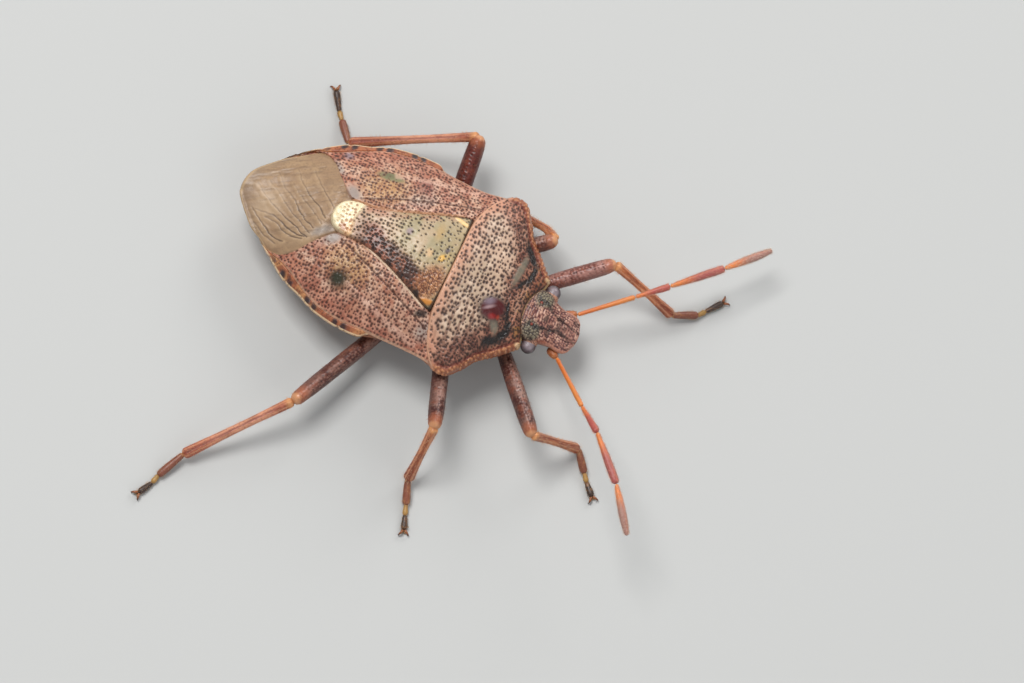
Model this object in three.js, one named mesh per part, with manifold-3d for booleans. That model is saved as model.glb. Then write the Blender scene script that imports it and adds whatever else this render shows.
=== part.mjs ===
// A brown predatory shield bug, life size, standing on six feet.
// Millimetres, +Z up, the head towards -Y, the bug's own left towards +X, the soles of the feet at z = 0.
// Points are written as [w, s, z]: w to the bug's left, s forward along the body, z up.

import * as THREE from 'three';
import { mergeVertices } from 'three/addons/utils/BufferGeometryUtils.js';
import Module from 'manifold-3d';

const wasm = await Module();
wasm.setup();

// Sizes of the whole

const GAP = 0.2;                 // clear space kept between neighbouring pieces
const PLATE = 0.5;               // thickness of the shield, the scutellum and the wings
const RIM = 0.36;                // thickness of those plates at their outer rim
const EYE = { w: 1.04, s: 3.93, z: 2.3, r: 0.27 };
const COXA_R = 0.4;              // ball of a hip
const FEMUR = { hip: 0.27, mid: 0.31, knee: 0.27 };
const TIBIA = { knee: 0.25, mid: 0.25, end: 0.27 };
const TARSUS = { first: 0.25, second: 0.22, last: 0.25 };
const FEELER = 0.25;             // radius of the feelers
const BEAK = 0.26;               // radius of the beak

// Outlines, as tables of station s and half width, from front to back

const BODY_HALF = [
  [3.66, 1.3], [3.05, 1.92], [2.5, 2.4], [2.19, 2.88], [1.8, 3.33], [1.5, 3.41], [0.9, 3.3],
  [0.4, 3.16], [-0.3, 3.16], [-0.95, 3.26], [-1.4, 3.38], [-2.1, 3.41], [-2.7, 3.35], [-3.4, 3.2],
  [-3.9, 2.97], [-4.65, 2.7], [-5.15, 2.38], [-5.8, 1.9], [-6.3, 1.47], [-6.9, 0.86], [-7.36, 0.36],
];
const RIDGE_Z = [
  [3.66, 2.95], [3.0, 3.35], [2.2, 3.7], [1.5, 3.9], [0.5, 4.1], [-0.5, 4.15], [-1.5, 4.05],
  [-2.5, 3.85], [-3.5, 3.5], [-4.15, 3.3], [-5.0, 2.88], [-6.0, 2.42], [-7.0, 2.1], [-7.4, 2.02],
];
const MARGIN_Z = [
  [3.66, 2.55], [3.0, 2.6], [2.2, 2.75], [1.5, 2.9], [0.9, 2.8], [0.3, 2.68], [-0.4, 2.58],
  [-1.2, 2.45], [-2.0, 2.3], [-3.0, 2.2], [-4.0, 2.12], [-5.2, 2.06], [-6.2, 2.0], [-7.4, 1.95],
];
const SCUTELLUM_HALF = [
  [0.1, 1.72], [-0.5, 1.5], [-1.5, 1.08], [-2.4, 0.76], [-3.1, 0.63], [-3.6, 0.61], [-3.9, 0.5],
  [-4.06, 0.34], [-4.15, 0.16],
];
const CORIUM_OUTER = [
  [0.88, 3.2], [0.4, 3.14], [-0.3, 3.12], [-1.4, 3.1], [-2.4, 3.1], [-3.15, 3.0], [-3.9, 2.7],
  [-4.7, 2.27], [-5.2, 2.06], [-5.6, 1.96],
];
const BELLY_Z = [
  [-1.45, 1.45], [-2.2, 1.15], [-3.0, 0.96], [-5.0, 0.95], [-6.0, 1.02], [-7.0, 1.2],
];
const HEAD = [
  // station s, half width, top, bottom
  [3.7, 0.84, 2.88, 1.5],
  [4.0, 0.84, 2.78, 1.48],
  [4.3, 0.74, 2.62, 1.5],
  [4.6, 0.7, 2.48, 1.55],
  [4.9, 0.72, 2.33, 1.6],
  [5.12, 0.68, 2.2, 1.66],
  [5.27, 0.52, 2.1, 1.72],
  [5.36, 0.3, 2.02, 1.78],
];
const ABDOMEN_JOINTS = [-2.35, -3.3, -4.2, -5.0, -5.7];
const ABDOMEN_ROWS = 24;
const VEINS = 8;
const VEIN_HEIGHT = 0.07;

// The legs and feelers as they stand

const LEGS = {
  front_left: {
    coxa: [0.87, 2.9, 1.0], knee: [3.04, 5.46, 2.0], ankle: [2.71, 8.14, 0.38],
    joints: [[3.19, 8.99, 0.3], [3.42, 9.16, 0.25]], tip: [4.0, 9.6, 0.22],
  },
  front_right: {
    coxa: [-0.87, 2.9, 1.0], knee: [-3.86, 5.35, 2.5], ankle: [-3.09, 7.14, 0.38],
    joints: [[-3.74, 7.72, 0.3], [-3.96, 7.91, 0.25]], tip: [-4.36, 8.3, 0.22],
  },
  middle_left: {
    coxa: [1.2, 1.05, 1.0], knee: [2.75, 3.22, 2.5], bend: [3.13, 2.72, 1.86], ankle: [3.52, 1.55, 0.38],
    joints: [[3.56, 0.72, 0.3], [3.56, 0.42, 0.25]], tip: [3.52, -0.12, 0.22],
  },
  middle_right: {
    coxa: [-1.2, 1.05, 1.0], knee: [-5.18, 2.19, 2.8], ankle: [-6.74, 2.24, 0.38],
    joints: [[-7.54, 2.58, 0.3], [-7.84, 2.69, 0.25]], tip: [-8.34, 2.88, 0.22],
  },
  hind_left: {
    coxa: [1.3, -0.25, 1.0], knee: [4.93, -0.71, 2.3], ankle: [3.16, -4.71, 0.38],
    joints: [[3.86, -5.27, 0.3], [4.09, -5.46, 0.25]], tip: [4.74, -5.89, 0.22],
  },
  hind_right: {
    coxa: [-1.3, -0.25, 1.0], knee: [-6.28, -2.52, 1.7], ankle: [-9.42, -5.14, 0.38],
    joints: [[-10.42, -5.59, 0.3], [-10.7, -5.65, 0.25]], tip: [-11.24, -5.93, 0.22],
  },
};
const FEELERS = {
  left: [
    [0.96, 4.62, 1.62], [0.98, 5.06, 1.82], [2.25, 6.58, 2.2], [3.12, 7.52, 2.3], [4.62, 8.99, 2.1],
    [6.04, 10.26, 1.8],
  ],
  right: [
    [-0.96, 4.62, 1.62], [-0.98, 5.04, 1.86], [-2.27, 6.47, 2.9], [-2.99, 7.28, 3.45],
    [-4.38, 8.61, 3.7], [-5.82, 9.7, 3.6],
  ],
};
const BEAK_PATH = [[0, 5.02, 1.06], [0, 4.3, 0.99], [0, 3.2, 0.97], [0, 2.2, 0.97], [0, 1.2, 0.98]];

// Curves and surfaces

const clamp = (x, a, b) => Math.min(b, Math.max(a, x));
const mix = (a, b, t) => a + (b - a) * t;
const smooth = (a, b, x) => {
  const t = clamp((x - a) / (b - a), 0, 1);
  return t * t * (3 - 2 * t);
};

// Smooth value read from a table of [station, value] rows, by cubic pieces through the rows.
function along(table, s, column = 1) {
  const n = table.length;
  const dir = table[0][0] > table[n - 1][0] ? -1 : 1;
  let k = 0;
  while (k < n - 2 && dir * s > dir * table[k + 1][0]) k++;
  const slope = (i) => {
    const a = table[Math.max(0, i - 1)];
    const b = table[Math.min(n - 1, i + 1)];
    return (b[column] - a[column]) / (b[0] - a[0]);
  };
  const h = table[k + 1][0] - table[k][0];
  const t = clamp((s - table[k][0]) / h, 0, 1);
  const t2 = t * t;
  const t3 = t2 * t;
  return (2 * t3 - 3 * t2 + 1) * table[k][column] + (t3 - 2 * t2 + t) * h * slope(k)
    + (3 * t2 - 2 * t3) * table[k + 1][column] + (t3 - t2) * h * slope(k + 1);
}

const half = (s) => along(BODY_HALF, s);

// Height of the back at a point of the plan: an arch from the margin up to the ridge.
function backZ(w, s) {
  const x = clamp(Math.abs(w) / half(s), 0, 1);
  const margin = along(MARGIN_Z, s);
  return margin + (along(RIDGE_Z, s) - margin) * (1 - Math.pow(x, 2.3));
}

const plateThickness = (w, s) => mix(PLATE, RIM, Math.pow(clamp(Math.abs(w) / half(s), 0, 1), 3));
const underPlate = (w, s) => backZ(w, s) - plateThickness(w, s) - GAP;

const toXYZ = ([w, s, z]) => new THREE.Vector3(w, -s, z);

// Closed body between a top sheet and a bottom sheet over the same plan grid.
function slab(nu, nv, plan, top, bottom) {
  const positions = [];
  const index = [];
  for (const level of [top, bottom]) {
    for (let j = 0; j <= nv; j++) {
      for (let i = 0; i <= nu; i++) {
        const [w, s] = plan(i / nu, j / nv);
        positions.push(w, -s, level(w, s, i / nu, j / nv));
      }
    }
  }
  const row = nu + 1;
  const sheet = row * (nv + 1);
  const at = (i, j, k) => k * sheet + j * row + i;
  for (let j = 0; j < nv; j++) {
    for (let i = 0; i < nu; i++) {
      const flip = (i < nu / 2) === (j < nv / 2);
      for (const k of [0, 1]) {
        const [a, b, c, d] = [at(i, j, k), at(i + 1, j, k), at(i + 1, j + 1, k), at(i, j + 1, k)];
        const two = flip ? [a, b, c, a, c, d] : [a, b, d, b, c, d];
        if (k === 1) two.reverse();
        index.push(...two);
      }
    }
  }
  const wall = (a, b, c, d) => index.push(a, c, b, b, c, d);
  for (let i = 0; i < nu; i++) {
    wall(at(i, 0, 0), at(i + 1, 0, 0), at(i, 0, 1), at(i + 1, 0, 1));
    wall(at(i + 1, nv, 0), at(i, nv, 0), at(i + 1, nv, 1), at(i, nv, 1));
  }
  for (let j = 0; j < nv; j++) {
    wall(at(0, j + 1, 0), at(0, j, 0), at(0, j + 1, 1), at(0, j, 1));
    wall(at(nu, j, 0), at(nu, j + 1, 0), at(nu, j, 1), at(nu, j + 1, 1));
  }
  return closed(positions, index);
}

// Geometry with its faces turned outward.
function closed(positions, index) {
  let volume = 0;
  const p = (i) => new THREE.Vector3(positions[3 * i], positions[3 * i + 1], positions[3 * i + 2]);
  for (let i = 0; i < index.length; i += 3) {
    volume += p(index[i]).dot(p(index[i + 1]).cross(p(index[i + 2])));
  }
  if (volume < 0) {
    for (let i = 0; i < index.length; i += 3) [index[i], index[i + 1]] = [index[i + 1], index[i]];
  }
  const geometry = new THREE.BufferGeometry();
  geometry.setAttribute('position', new THREE.Float32BufferAttribute(positions, 3));
  geometry.setIndex(index);
  return geometry;
}

// Point at a fraction of a chain of plan points, by a smooth curve through them.
function chain(points) {
  const curve = new THREE.CatmullRomCurve3(points.map(([w, s]) => new THREE.Vector3(w, s, 0)), false, 'centripetal');
  return (t) => {
    const q = curve.getPointAt(clamp(t, 0, 1));
    return [q.x, q.y];
  };
}

// Plan point inside four edges: front and back run along u, the two sides along v.
function patch(front, back, side0, side1) {
  return (u, v) => {
    const [f, b, l, r] = [front(u), back(u), side0(v), side1(v)];
    const [f0, f1, b0, b1] = [front(0), front(1), back(0), back(1)];
    return [0, 1].map((k) => (1 - v) * f[k] + v * b[k] + (1 - u) * l[k] + u * r[k]
      - (1 - u) * (1 - v) * f0[k] - u * (1 - v) * f1[k] - (1 - u) * v * b0[k] - u * v * b1[k]);
  };
}

// Round limb along a path of points, with a radius at each point and flat or rounded ends.
function limb(points, radii, { sides = 10, steps = 8, roundStart = false, roundEnd = false } = {}) {
  const curve = new THREE.CatmullRomCurve3(points.map(toXYZ), false, 'centripetal');
  const stations = [];
  for (let k = 0; k <= steps; k++) stations.push(k / steps);
  const radiusAt = (t) => {
    const x = t * (radii.length - 1);
    const k = Math.min(radii.length - 2, Math.floor(x));
    return mix(radii[k], radii[k + 1], smooth(0, 1, x - k));
  };
  const rings = stations.map((t) => ({ at: curve.getPoint(t), r: radiusAt(t) }));
  const first = rings[0];
  const last = rings[rings.length - 1];
  const dirStart = rings[0].at.clone().sub(rings[1].at).normalize();
  const dirEnd = last.at.clone().sub(rings[rings.length - 2].at).normalize();
  const dome = [0.5, 0.88];
  if (roundEnd) {
    for (const q of dome) {
      rings.push({ at: last.at.clone().addScaledVector(dirEnd, last.r * q), r: last.r * Math.sqrt(1 - q * q) });
    }
  }
  if (roundStart) {
    for (const q of dome) {
      rings.unshift({ at: first.at.clone().addScaledVector(dirStart, first.r * q), r: first.r * Math.sqrt(1 - q * q) });
    }
  }
  const positions = [];
  const index = [];
  let normal = null;
  rings.forEach((ring, k) => {
    const a = rings[Math.max(0, k - 1)].at;
    const b = rings[Math.min(rings.length - 1, k + 1)].at;
    const tangent = b.clone().sub(a).normalize();
    if (!normal) {
      normal = new THREE.Vector3(0, 0, 1);
    }
    normal.addScaledVector(tangent, -normal.dot(tangent)).normalize();
    const side = new THREE.Vector3().crossVectors(tangent, normal);
    for (let i = 0; i < sides; i++) {
      const angle = (2 * Math.PI * (i + 0.5)) / sides;
      const q = ring.at.clone().addScaledVector(normal, ring.r * Math.cos(angle)).addScaledVector(side, ring.r * Math.sin(angle));
      positions.push(q.x, q.y, q.z);
    }
  });
  const n = rings.length;
  for (let k = 0; k < n - 1; k++) {
    for (let i = 0; i < sides; i++) {
      const a = k * sides + i;
      const b = k * sides + ((i + 1) % sides);
      index.push(a, b, a + sides, b, b + sides, a + sides);
    }
  }
  const c0 = positions.length / 3;
  positions.push(rings[0].at.x, rings[0].at.y, rings[0].at.z);
  positions.push(rings[n - 1].at.x, rings[n - 1].at.y, rings[n - 1].at.z);
  for (let i = 0; i < sides; i++) {
    const j = (i + 1) % sides;
    index.push(c0, j, i);
    index.push(c0 + 1, (n - 1) * sides + i, (n - 1) * sides + j);
  }
  return closed(positions, index);
}

// Joining and cutting

function solid(geometry) {
  const g = geometry.clone();
  g.deleteAttribute('normal');
  g.deleteAttribute('uv');
  const merged = mergeVertices(g, 1e-5);
  return new wasm.Manifold(new wasm.Mesh({
    numProp: 3,
    vertProperties: new Float32Array(merged.attributes.position.array),
    triVerts: new Uint32Array(merged.index.array),
  }));
}

// Largest closed surface of a cut or joined solid, as a geometry.
function surface(manifold) {
  const parts = manifold.decompose();
  parts.sort((a, b) => b.volume() - a.volume());
  const mesh = parts[0].getMesh();
  const geometry = new THREE.BufferGeometry();
  geometry.setAttribute('position', new THREE.Float32BufferAttribute(Array.from(mesh.vertProperties), 3));
  geometry.setIndex(Array.from(mesh.triVerts));
  return geometry;
}

function ball([w, s, z], r, around = 12, rows = 8) {
  const g = new THREE.SphereGeometry(r, around, rows);
  g.rotateX(Math.PI / 2);
  g.translate(w, -s, z);
  return g;
}

// Slab of empty space above or below a level, used to cut flats.
function halfSpace(z, above) {
  const g = new THREE.BoxGeometry(60, 60, 10);
  g.translate(0, 0, above ? z + 5 : z - 5);
  return g;
}

// The model

const model = new THREE.Group();
const colours = {
  shield: 0x9c7f63, scutellum: 0x9a8f74, corium: 0xa07a63, membrane: 0x8a7059, abdomen: 0xa8703f,
  thorax: 0x8c6448, head: 0x7d4f3b, eye: 0x4d423c, beak: 0x7a4a30, feeler: 0xb8673f,
  femur: 0x6b2f22, tibia: 0xb06a48, tarsus: 0x6a4632, coxa: 0x8a4a30,
};

function add(name, geometry, colour, roughness = 0.5) {
  const g = geometry.index ? geometry : mergeVertices(geometry, 1e-5);
  g.computeVertexNormals();
  const mesh = new THREE.Mesh(g, new THREE.MeshStandardMaterial({ color: colour, roughness, metalness: 0 }));
  mesh.name = name;
  model.add(mesh);
}

// Pronotum: the shield behind the head, out to the two rounded shoulders.
const shieldSide = [[3.36, 1.22], [3.41, 1.5], [3.33, 1.8], [2.88, 2.19], [2.4, 2.5], [1.92, 3.05], [1.3, 3.66]];
const mirror = (points) => points.map(([w, s]) => [-w, s]);
const shieldRear = [[3.36, 1.22], [3.0, 0.86], [2.4, 0.53], [1.72, 0.34], [0.8, 0.3]];
const shieldPlan = patch(
  chain([...mirror([...shieldRear]), [0, 0.3], ...[...shieldRear].reverse()]),
  chain([[-1.3, 3.66], [-0.7, 3.5], [0, 3.45], [0.7, 3.5], [1.3, 3.66]]),
  chain(mirror(shieldSide)),
  chain(shieldSide),
);
add('pronotum', slab(22, 10, shieldPlan, backZ, (w, s) => backZ(w, s) - plateThickness(w, s)),
  colours.shield);

// Scutellum: the long shield plate with a broad round tip.
const scutellumPlan = (u, v) => {
  const s = mix(0.1, -4.15, 1 - Math.pow(1 - v, 1.35));
  return [(2 * u - 1) * along(SCUTELLUM_HALF, s), s];
};
const scutellumZ = (w, s) => backZ(w, s) + 0.07 * smooth(-3.0, -3.7, s);
add('scutellum', slab(12, 12, scutellumPlan, scutellumZ, (w, s) => backZ(w, s) - PLATE),
  colours.scutellum);

// Forewings: the leathery corium of each side, beside the scutellum.
for (const side of [1, -1]) {
  const inner = [];
  for (let s = 0.06; s > -3.72; s -= 0.3) inner.push([along(SCUTELLUM_HALF, Math.min(0.1, s)) + GAP + 0.03, s]);
  inner.push([0.83, -3.74]);
  const outer = CORIUM_OUTER.map(([s, w]) => [w, s]);
  const a = inner[0];
  const b = outer[0];
  const front = [a, [2.45, 0.3], [2.95, 0.6], b];
  const rear = [[0.83, -3.74], [0.98, -4.07], [1.3, -4.42], [1.68, -4.8], [1.9, -5.2], [1.96, -5.6]];
  const q = patch(chain(front), chain(rear), chain(inner), chain(outer));
  const plan = (u, v) => {
    const [w, s] = q(u, v);
    return [side * w, s];
  };
  add(side > 0 ? 'corium_left' : 'corium_right',
    slab(7, 16, plan, (w, s) => backZ(w, s) - 0.03, (w, s) => backZ(w, s) - plateThickness(w, s)),
    colours.corium);
}

// Membrane: the thin end of the right forewing, folded over the left one, with raised veins.
const membraneRight = chain([
  [-0.6, -4.08], [-0.82, -4.24], [-1.14, -4.58], [-1.5, -4.98], [-1.72, -5.35], [-1.8, -5.76],
]);
const membraneLeft = chain([[0.6, -4.08], [0.82, -4.26], [1.14, -4.6], [1.46, -4.95], [1.62, -5.3], [1.6, -5.6]]);
const membraneFront = chain([[-0.6, -4.08], [-0.4, -4.28], [0, -4.38], [0.4, -4.28], [0.6, -4.08]]);
const membraneRear = chain([
  [-1.8, -5.76], [-1.61, -6.29], [-1.3, -6.69], [-0.87, -7.11], [-0.47, -7.34], [0.02, -7.35],
  [0.54, -7.15], [0.8, -6.85], [1.22, -6.26], [1.6, -5.6],
]);
const vein = (u, v) => {
  const ridge = Math.pow(Math.abs(Math.cos(Math.PI * VEINS * u)), 3);
  return VEIN_HEIGHT * ridge * Math.sin(Math.PI * clamp(v, 0, 1)) * Math.sin(Math.PI * u);
};
add('wing_membrane',
  slab(VEINS * 4, 7, patch(membraneFront, membraneRear, membraneRight, membraneLeft),
    (w, s, u, v) => backZ(w, s) - 0.06 + vein(u, v),
    (w, s) => backZ(w, s) - plateThickness(w, s)),
  colours.membrane, 0.4);

// Prosternum: the underside of the first thorax ring, between the shield and the front hips.
const sternumZ = (w, s) => {
  const x = Math.abs(w) / half(s);
  return mix(1.45, 2.08, smooth(0.37, 0.6, x));
};
add('prosternum',
  slab(14, 6, (u, v) => {
    const s = mix(1.5, 3.46, v);
    return [(2 * u - 1) * half(s) * 0.6, s];
  }, underPlate, sternumZ),
  colours.thorax);

// Thorax: the underside of the second and third rings, with the middle and hind hips.
add('thorax',
  slab(16, 8, (u, v) => {
    const s = mix(-1.25, 1.3, v);
    return [(2 * u - 1) * half(s) * 0.86, s];
  }, underPlate, sternumZ),
  colours.thorax);

// Abdomen: a boat-shaped belly under the wings, with the ringed margin showing beside them.
const notch = (s) => ABDOMEN_JOINTS.reduce((sum, j) => sum + Math.exp(-Math.pow((s - j) / 0.07, 2)), 0);
const abdomenColumns = 18;
const abdomenStations = [];
for (let k = 0; k <= ABDOMEN_ROWS; k++) abdomenStations.push(mix(-1.45, -7.0, k / ABDOMEN_ROWS));
const abdomenHalf = (s) => half(s) - 0.06 * notch(s);
const wingEdge = (s) => Math.min(along(CORIUM_OUTER, Math.max(-5.6, s)) + GAP, abdomenHalf(s) - 0.12);
const uncovered = (s) => smooth(-5.75, -5.45, s);
const abdomenPlan = (u, v) => {
  const s = abdomenStations[Math.round(v * ABDOMEN_ROWS)];
  const i = Math.round(u * abdomenColumns);
  const sign = i < abdomenColumns / 2 ? -1 : 1;
  const k = Math.abs(i - abdomenColumns / 2);
  const n = abdomenColumns / 2;
  if (k === n) return [sign * abdomenHalf(s), s];
  if (k === n - 1) return [sign * (wingEdge(s) + 0.05), s];
  return [sign * wingEdge(s) * Math.sin((Math.PI / 2) * (k / (n - 2)) * 0.999), s];
};
const abdomenTop = (w, s) => {
  const covered = underPlate(w, s);
  if (Math.abs(w) < wingEdge(s) + 0.02) return covered;
  return mix(covered, backZ(w, s) + 0.02 - 0.05 * notch(s), uncovered(s));
};
const abdomenBottom = (w, s) => {
  const x = clamp(Math.abs(w) / abdomenHalf(s), 0, 1);
  const margin = mix(underPlate(half(s), s) - 0.32, along(MARGIN_Z, s) - 0.5, uncovered(s));
  const keel = along(BELLY_Z, s);
  return keel + (margin - keel) * Math.pow(x, 3) + 0.04 * notch(s) * (1 - x);
};
add('abdomen', slab(abdomenColumns, ABDOMEN_ROWS, abdomenPlan, abdomenTop, abdomenBottom), colours.abdomen);

// Head: a flat blunt wedge, hollowed on each side for the eye.
const headRings = [];
for (let k = 0; k <= 14; k++) headRings.push(mix(3.7, 5.36, Math.pow(k / 14, 0.85)));
const headSides = 18;
const headPositions = [];
const headIndex = [];
for (const s of headRings) {
  const [h, top, low] = [along(HEAD, s, 1), along(HEAD, s, 2), along(HEAD, s, 3)];
  const level = top - 0.38 * (top - low);
  for (let i = 0; i < headSides; i++) {
    const a = (2 * Math.PI * i) / headSides;
    const c = Math.sign(Math.cos(a)) * Math.pow(Math.abs(Math.cos(a)), 0.75);
    const q = Math.sin(a);
    const w = h * c * (q < 0 ? 1 - 0.45 * q * q : 1);
    headPositions.push(w, -s, level + q * (q > 0 ? top - level : level - low));
  }
}
const headLast = (headRings.length - 1) * headSides;
for (let k = 0; k < headRings.length - 1; k++) {
  for (let i = 0; i < headSides; i++) {
    const a = k * headSides + i;
    const b = k * headSides + ((i + 1) % headSides);
    headIndex.push(a, b, a + headSides, b, b + headSides, a + headSides);
  }
}
for (let i = 1; i < headSides - 1; i++) {
  headIndex.push(0, i + 1, i, headLast, headLast + i, headLast + i + 1);
}
let head = solid(closed(headPositions, headIndex));
for (const side of [1, -1]) {
  head = head.subtract(solid(ball([side * EYE.w, EYE.s, EYE.z], EYE.r + GAP, 14, 10)));
}
add('head', surface(head), colours.head);
for (const side of [1, -1]) {
  add(side > 0 ? 'eye_left' : 'eye_right', ball([side * EYE.w, EYE.s, EYE.z], EYE.r, 12, 8), colours.eye, 0.25);
}

// Beak: the sucking mouthpart, folded back under the head and between the hips.
add('beak', limb(BEAK_PATH, [BEAK, BEAK * 1.1, BEAK, BEAK, BEAK * 0.6],
  { sides: 10, steps: 12, roundStart: true, roundEnd: true }), colours.beak);

// Feelers: five segments each, end to end.
for (const [name, points] of Object.entries(FEELERS)) {
  for (let k = 0; k < 5; k++) {
    const a = toXYZ(points[k]);
    const b = toXYZ(points[k + 1]);
    const d = b.clone().sub(a).normalize();
    if (k > 0) a.addScaledVector(d, GAP / 2);
    if (k < 4) b.addScaledVector(d, -GAP / 2);
    const back = (p) => [p.x, -p.y, p.z];
    const middle = a.clone().lerp(b, 0.5);
    const r = k < 4 ? [FEELER, FEELER, FEELER] : [FEELER, FEELER * 1.05, FEELER * 0.55];
    add(`antenna_${name}_${k + 1}`,
      limb([back(a), back(middle), back(b)], r, { sides: 8, steps: 4, roundEnd: k === 4 }), colours.feeler);
  }
}

// Legs: hip, thigh, shin and a three-part foot with two claws.
for (const [name, leg] of Object.entries(LEGS)) {
  const hip = solid(ball(leg.coxa, COXA_R, 10, 7)).subtract(solid(halfSpace(1.45 - GAP, true)));
  add(`coxa_${name}`, surface(hip), colours.coxa);

  const lift = (a, b, t, dz) => [0, 1, 2].map((k) => mix(a[k], b[k], t) + (k === 2 ? dz : 0));
  const thigh = limb([leg.coxa, lift(leg.coxa, leg.knee, 0.5, 0.03), leg.knee],
    [FEMUR.hip, FEMUR.mid, FEMUR.mid, FEMUR.knee], { sides: 10, steps: 6, roundEnd: true });
  add(`femur_${name}`, surface(solid(thigh).subtract(solid(ball(leg.coxa, COXA_R + GAP, 10, 8)))),
    colours.femur);

  const shinPath = leg.bend ? [leg.knee, leg.bend, leg.ankle] : [leg.knee, lift(leg.knee, leg.ankle, 0.5, 0.05), leg.ankle];
  const shin = limb(shinPath, [TIBIA.knee, TIBIA.mid, TIBIA.end], { sides: 8, steps: 5, roundEnd: true });
  add(`tibia_${name}`, surface(solid(shin).subtract(solid(ball(leg.knee, FEMUR.knee + GAP, 10, 8)))),
    colours.tibia);

  const [j1, j2] = leg.joints;
  let foot = solid(limb([leg.ankle, j1], [TARSUS.first, TARSUS.first], { sides: 8, steps: 2, roundEnd: true }));
  foot = foot.add(solid(limb([j1, j2], [TARSUS.second, TARSUS.second], { sides: 8, steps: 1, roundEnd: true })));
  foot = foot.add(solid(limb([j2, leg.tip], [TARSUS.second, TARSUS.last], { sides: 8, steps: 2, roundEnd: true })));
  const tip = toXYZ(leg.tip);
  const ahead = tip.clone().sub(toXYZ(j2)).setZ(0).normalize();
  const across = new THREE.Vector3(-ahead.y, ahead.x, 0);
  for (const side of [1, -1]) {
    const at = (f, c, z) => {
      const q = tip.clone().addScaledVector(ahead, f).addScaledVector(across, side * c);
      return [q.x, -q.y, z];
    };
    foot = foot.add(solid(limb([at(0.1, 0.08, 0.24), at(0.32, 0.2, 0.26), at(0.5, 0.24, 0.1)],
      [0.12, 0.1, 0.04], { sides: 5, steps: 3 })));
  }
  foot = foot.subtract(solid(ball(leg.ankle, TIBIA.end + GAP, 10, 8)));
  foot = foot.subtract(solid(halfSpace(0, false)));
  add(`tarsus_${name}`, surface(foot), colours.tarsus);
}

// The group stands with the middle of its box above the origin.
const box = new THREE.Box3().setFromObject(model);
model.position.set(-(box.min.x + box.max.x) / 2, -(box.min.y + box.max.y) / 2, -box.min.z);

export default model;
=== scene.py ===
"""A brown predatory shield bug, life size, standing in a walking pose.

Every shape is a surface worked out from named sizes. Points of the plan are written (w, s): w millimetres
to the bug's left of its middle line, and s millimetres forward along the body. Heights are millimetres above
the soles.
"""
import math

import bpy
import numpy as np
from mathutils import Matrix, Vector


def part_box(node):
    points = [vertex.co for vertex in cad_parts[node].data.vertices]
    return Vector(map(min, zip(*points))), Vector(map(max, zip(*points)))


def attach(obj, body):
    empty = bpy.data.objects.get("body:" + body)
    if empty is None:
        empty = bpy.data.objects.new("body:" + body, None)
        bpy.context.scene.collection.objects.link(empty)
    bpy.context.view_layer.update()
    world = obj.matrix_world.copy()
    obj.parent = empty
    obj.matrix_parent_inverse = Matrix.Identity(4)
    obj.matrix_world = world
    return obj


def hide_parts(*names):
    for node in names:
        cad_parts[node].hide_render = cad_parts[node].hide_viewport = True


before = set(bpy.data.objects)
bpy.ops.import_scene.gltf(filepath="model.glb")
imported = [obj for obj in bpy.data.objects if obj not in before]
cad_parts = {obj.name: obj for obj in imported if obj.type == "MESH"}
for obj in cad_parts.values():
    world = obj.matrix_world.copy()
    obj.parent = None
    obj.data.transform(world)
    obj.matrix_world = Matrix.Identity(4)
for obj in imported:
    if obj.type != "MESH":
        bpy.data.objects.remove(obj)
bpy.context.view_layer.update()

EYE = (1.04, 3.93, 2.3)  # middle of the left eye in the plan, which ties the plan to the frame
eye_low, eye_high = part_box("eye_left")
EYE_IN_FRAME = np.array([(a + b) / 2 for a, b in zip(eye_low, eye_high)]) * 1000
SHIFT = EYE_IN_FRAME - np.array([EYE[0], -EYE[1], EYE[2]])


def to_metres(w, s, z):
    """Plan coordinates and height in millimetres, turned into the model's frame in metres."""
    return (np.stack([w, -np.asarray(s), z], axis=-1) + SHIFT) * 0.001


# Outlines and profiles, as tables of station s and value

BODY_HALF = [
    [3.66, 1.3], [3.05, 1.92], [2.5, 2.4], [2.19, 2.88], [1.8, 3.33], [1.5, 3.41], [0.9, 3.3],
    [0.4, 3.16], [-0.3, 3.16], [-0.95, 3.26], [-1.4, 3.38], [-2.1, 3.41], [-2.7, 3.35], [-3.4, 3.2],
    [-3.9, 2.97], [-4.65, 2.7], [-5.15, 2.38], [-5.8, 1.9], [-6.3, 1.47], [-6.9, 0.86], [-7.36, 0.36],
]
RIDGE_Z = [
    [3.66, 2.95], [3.0, 3.35], [2.2, 3.7], [1.5, 3.9], [0.5, 4.1], [-0.5, 4.15], [-1.5, 4.05],
    [-2.5, 3.85], [-3.5, 3.5], [-4.15, 3.3], [-5.0, 2.88], [-6.0, 2.42], [-7.0, 2.1], [-7.4, 2.02],
]
MARGIN_Z = [
    [3.66, 2.55], [3.0, 2.6], [2.2, 2.75], [1.5, 2.9], [0.9, 2.8], [0.3, 2.68], [-0.4, 2.58],
    [-1.2, 2.45], [-2.0, 2.3], [-3.0, 2.2], [-4.0, 2.12], [-5.2, 2.06], [-6.2, 2.0], [-7.4, 1.95],
]
SCUTELLUM_HALF = [
    [0.5, 1.78], [0.1, 1.74], [-0.5, 1.5], [-1.5, 1.08], [-2.4, 0.76], [-3.1, 0.63], [-3.6, 0.61],
    [-3.9, 0.5], [-4.06, 0.34], [-4.15, 0.14],
]
CORIUM_OUTER = [
    [0.88, 3.2], [0.4, 3.14], [-0.3, 3.13], [-1.4, 3.16], [-2.4, 3.17], [-3.15, 3.06], [-3.9, 2.76],
    [-4.7, 2.32], [-5.2, 2.1], [-5.6, 1.98],
]
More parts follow.
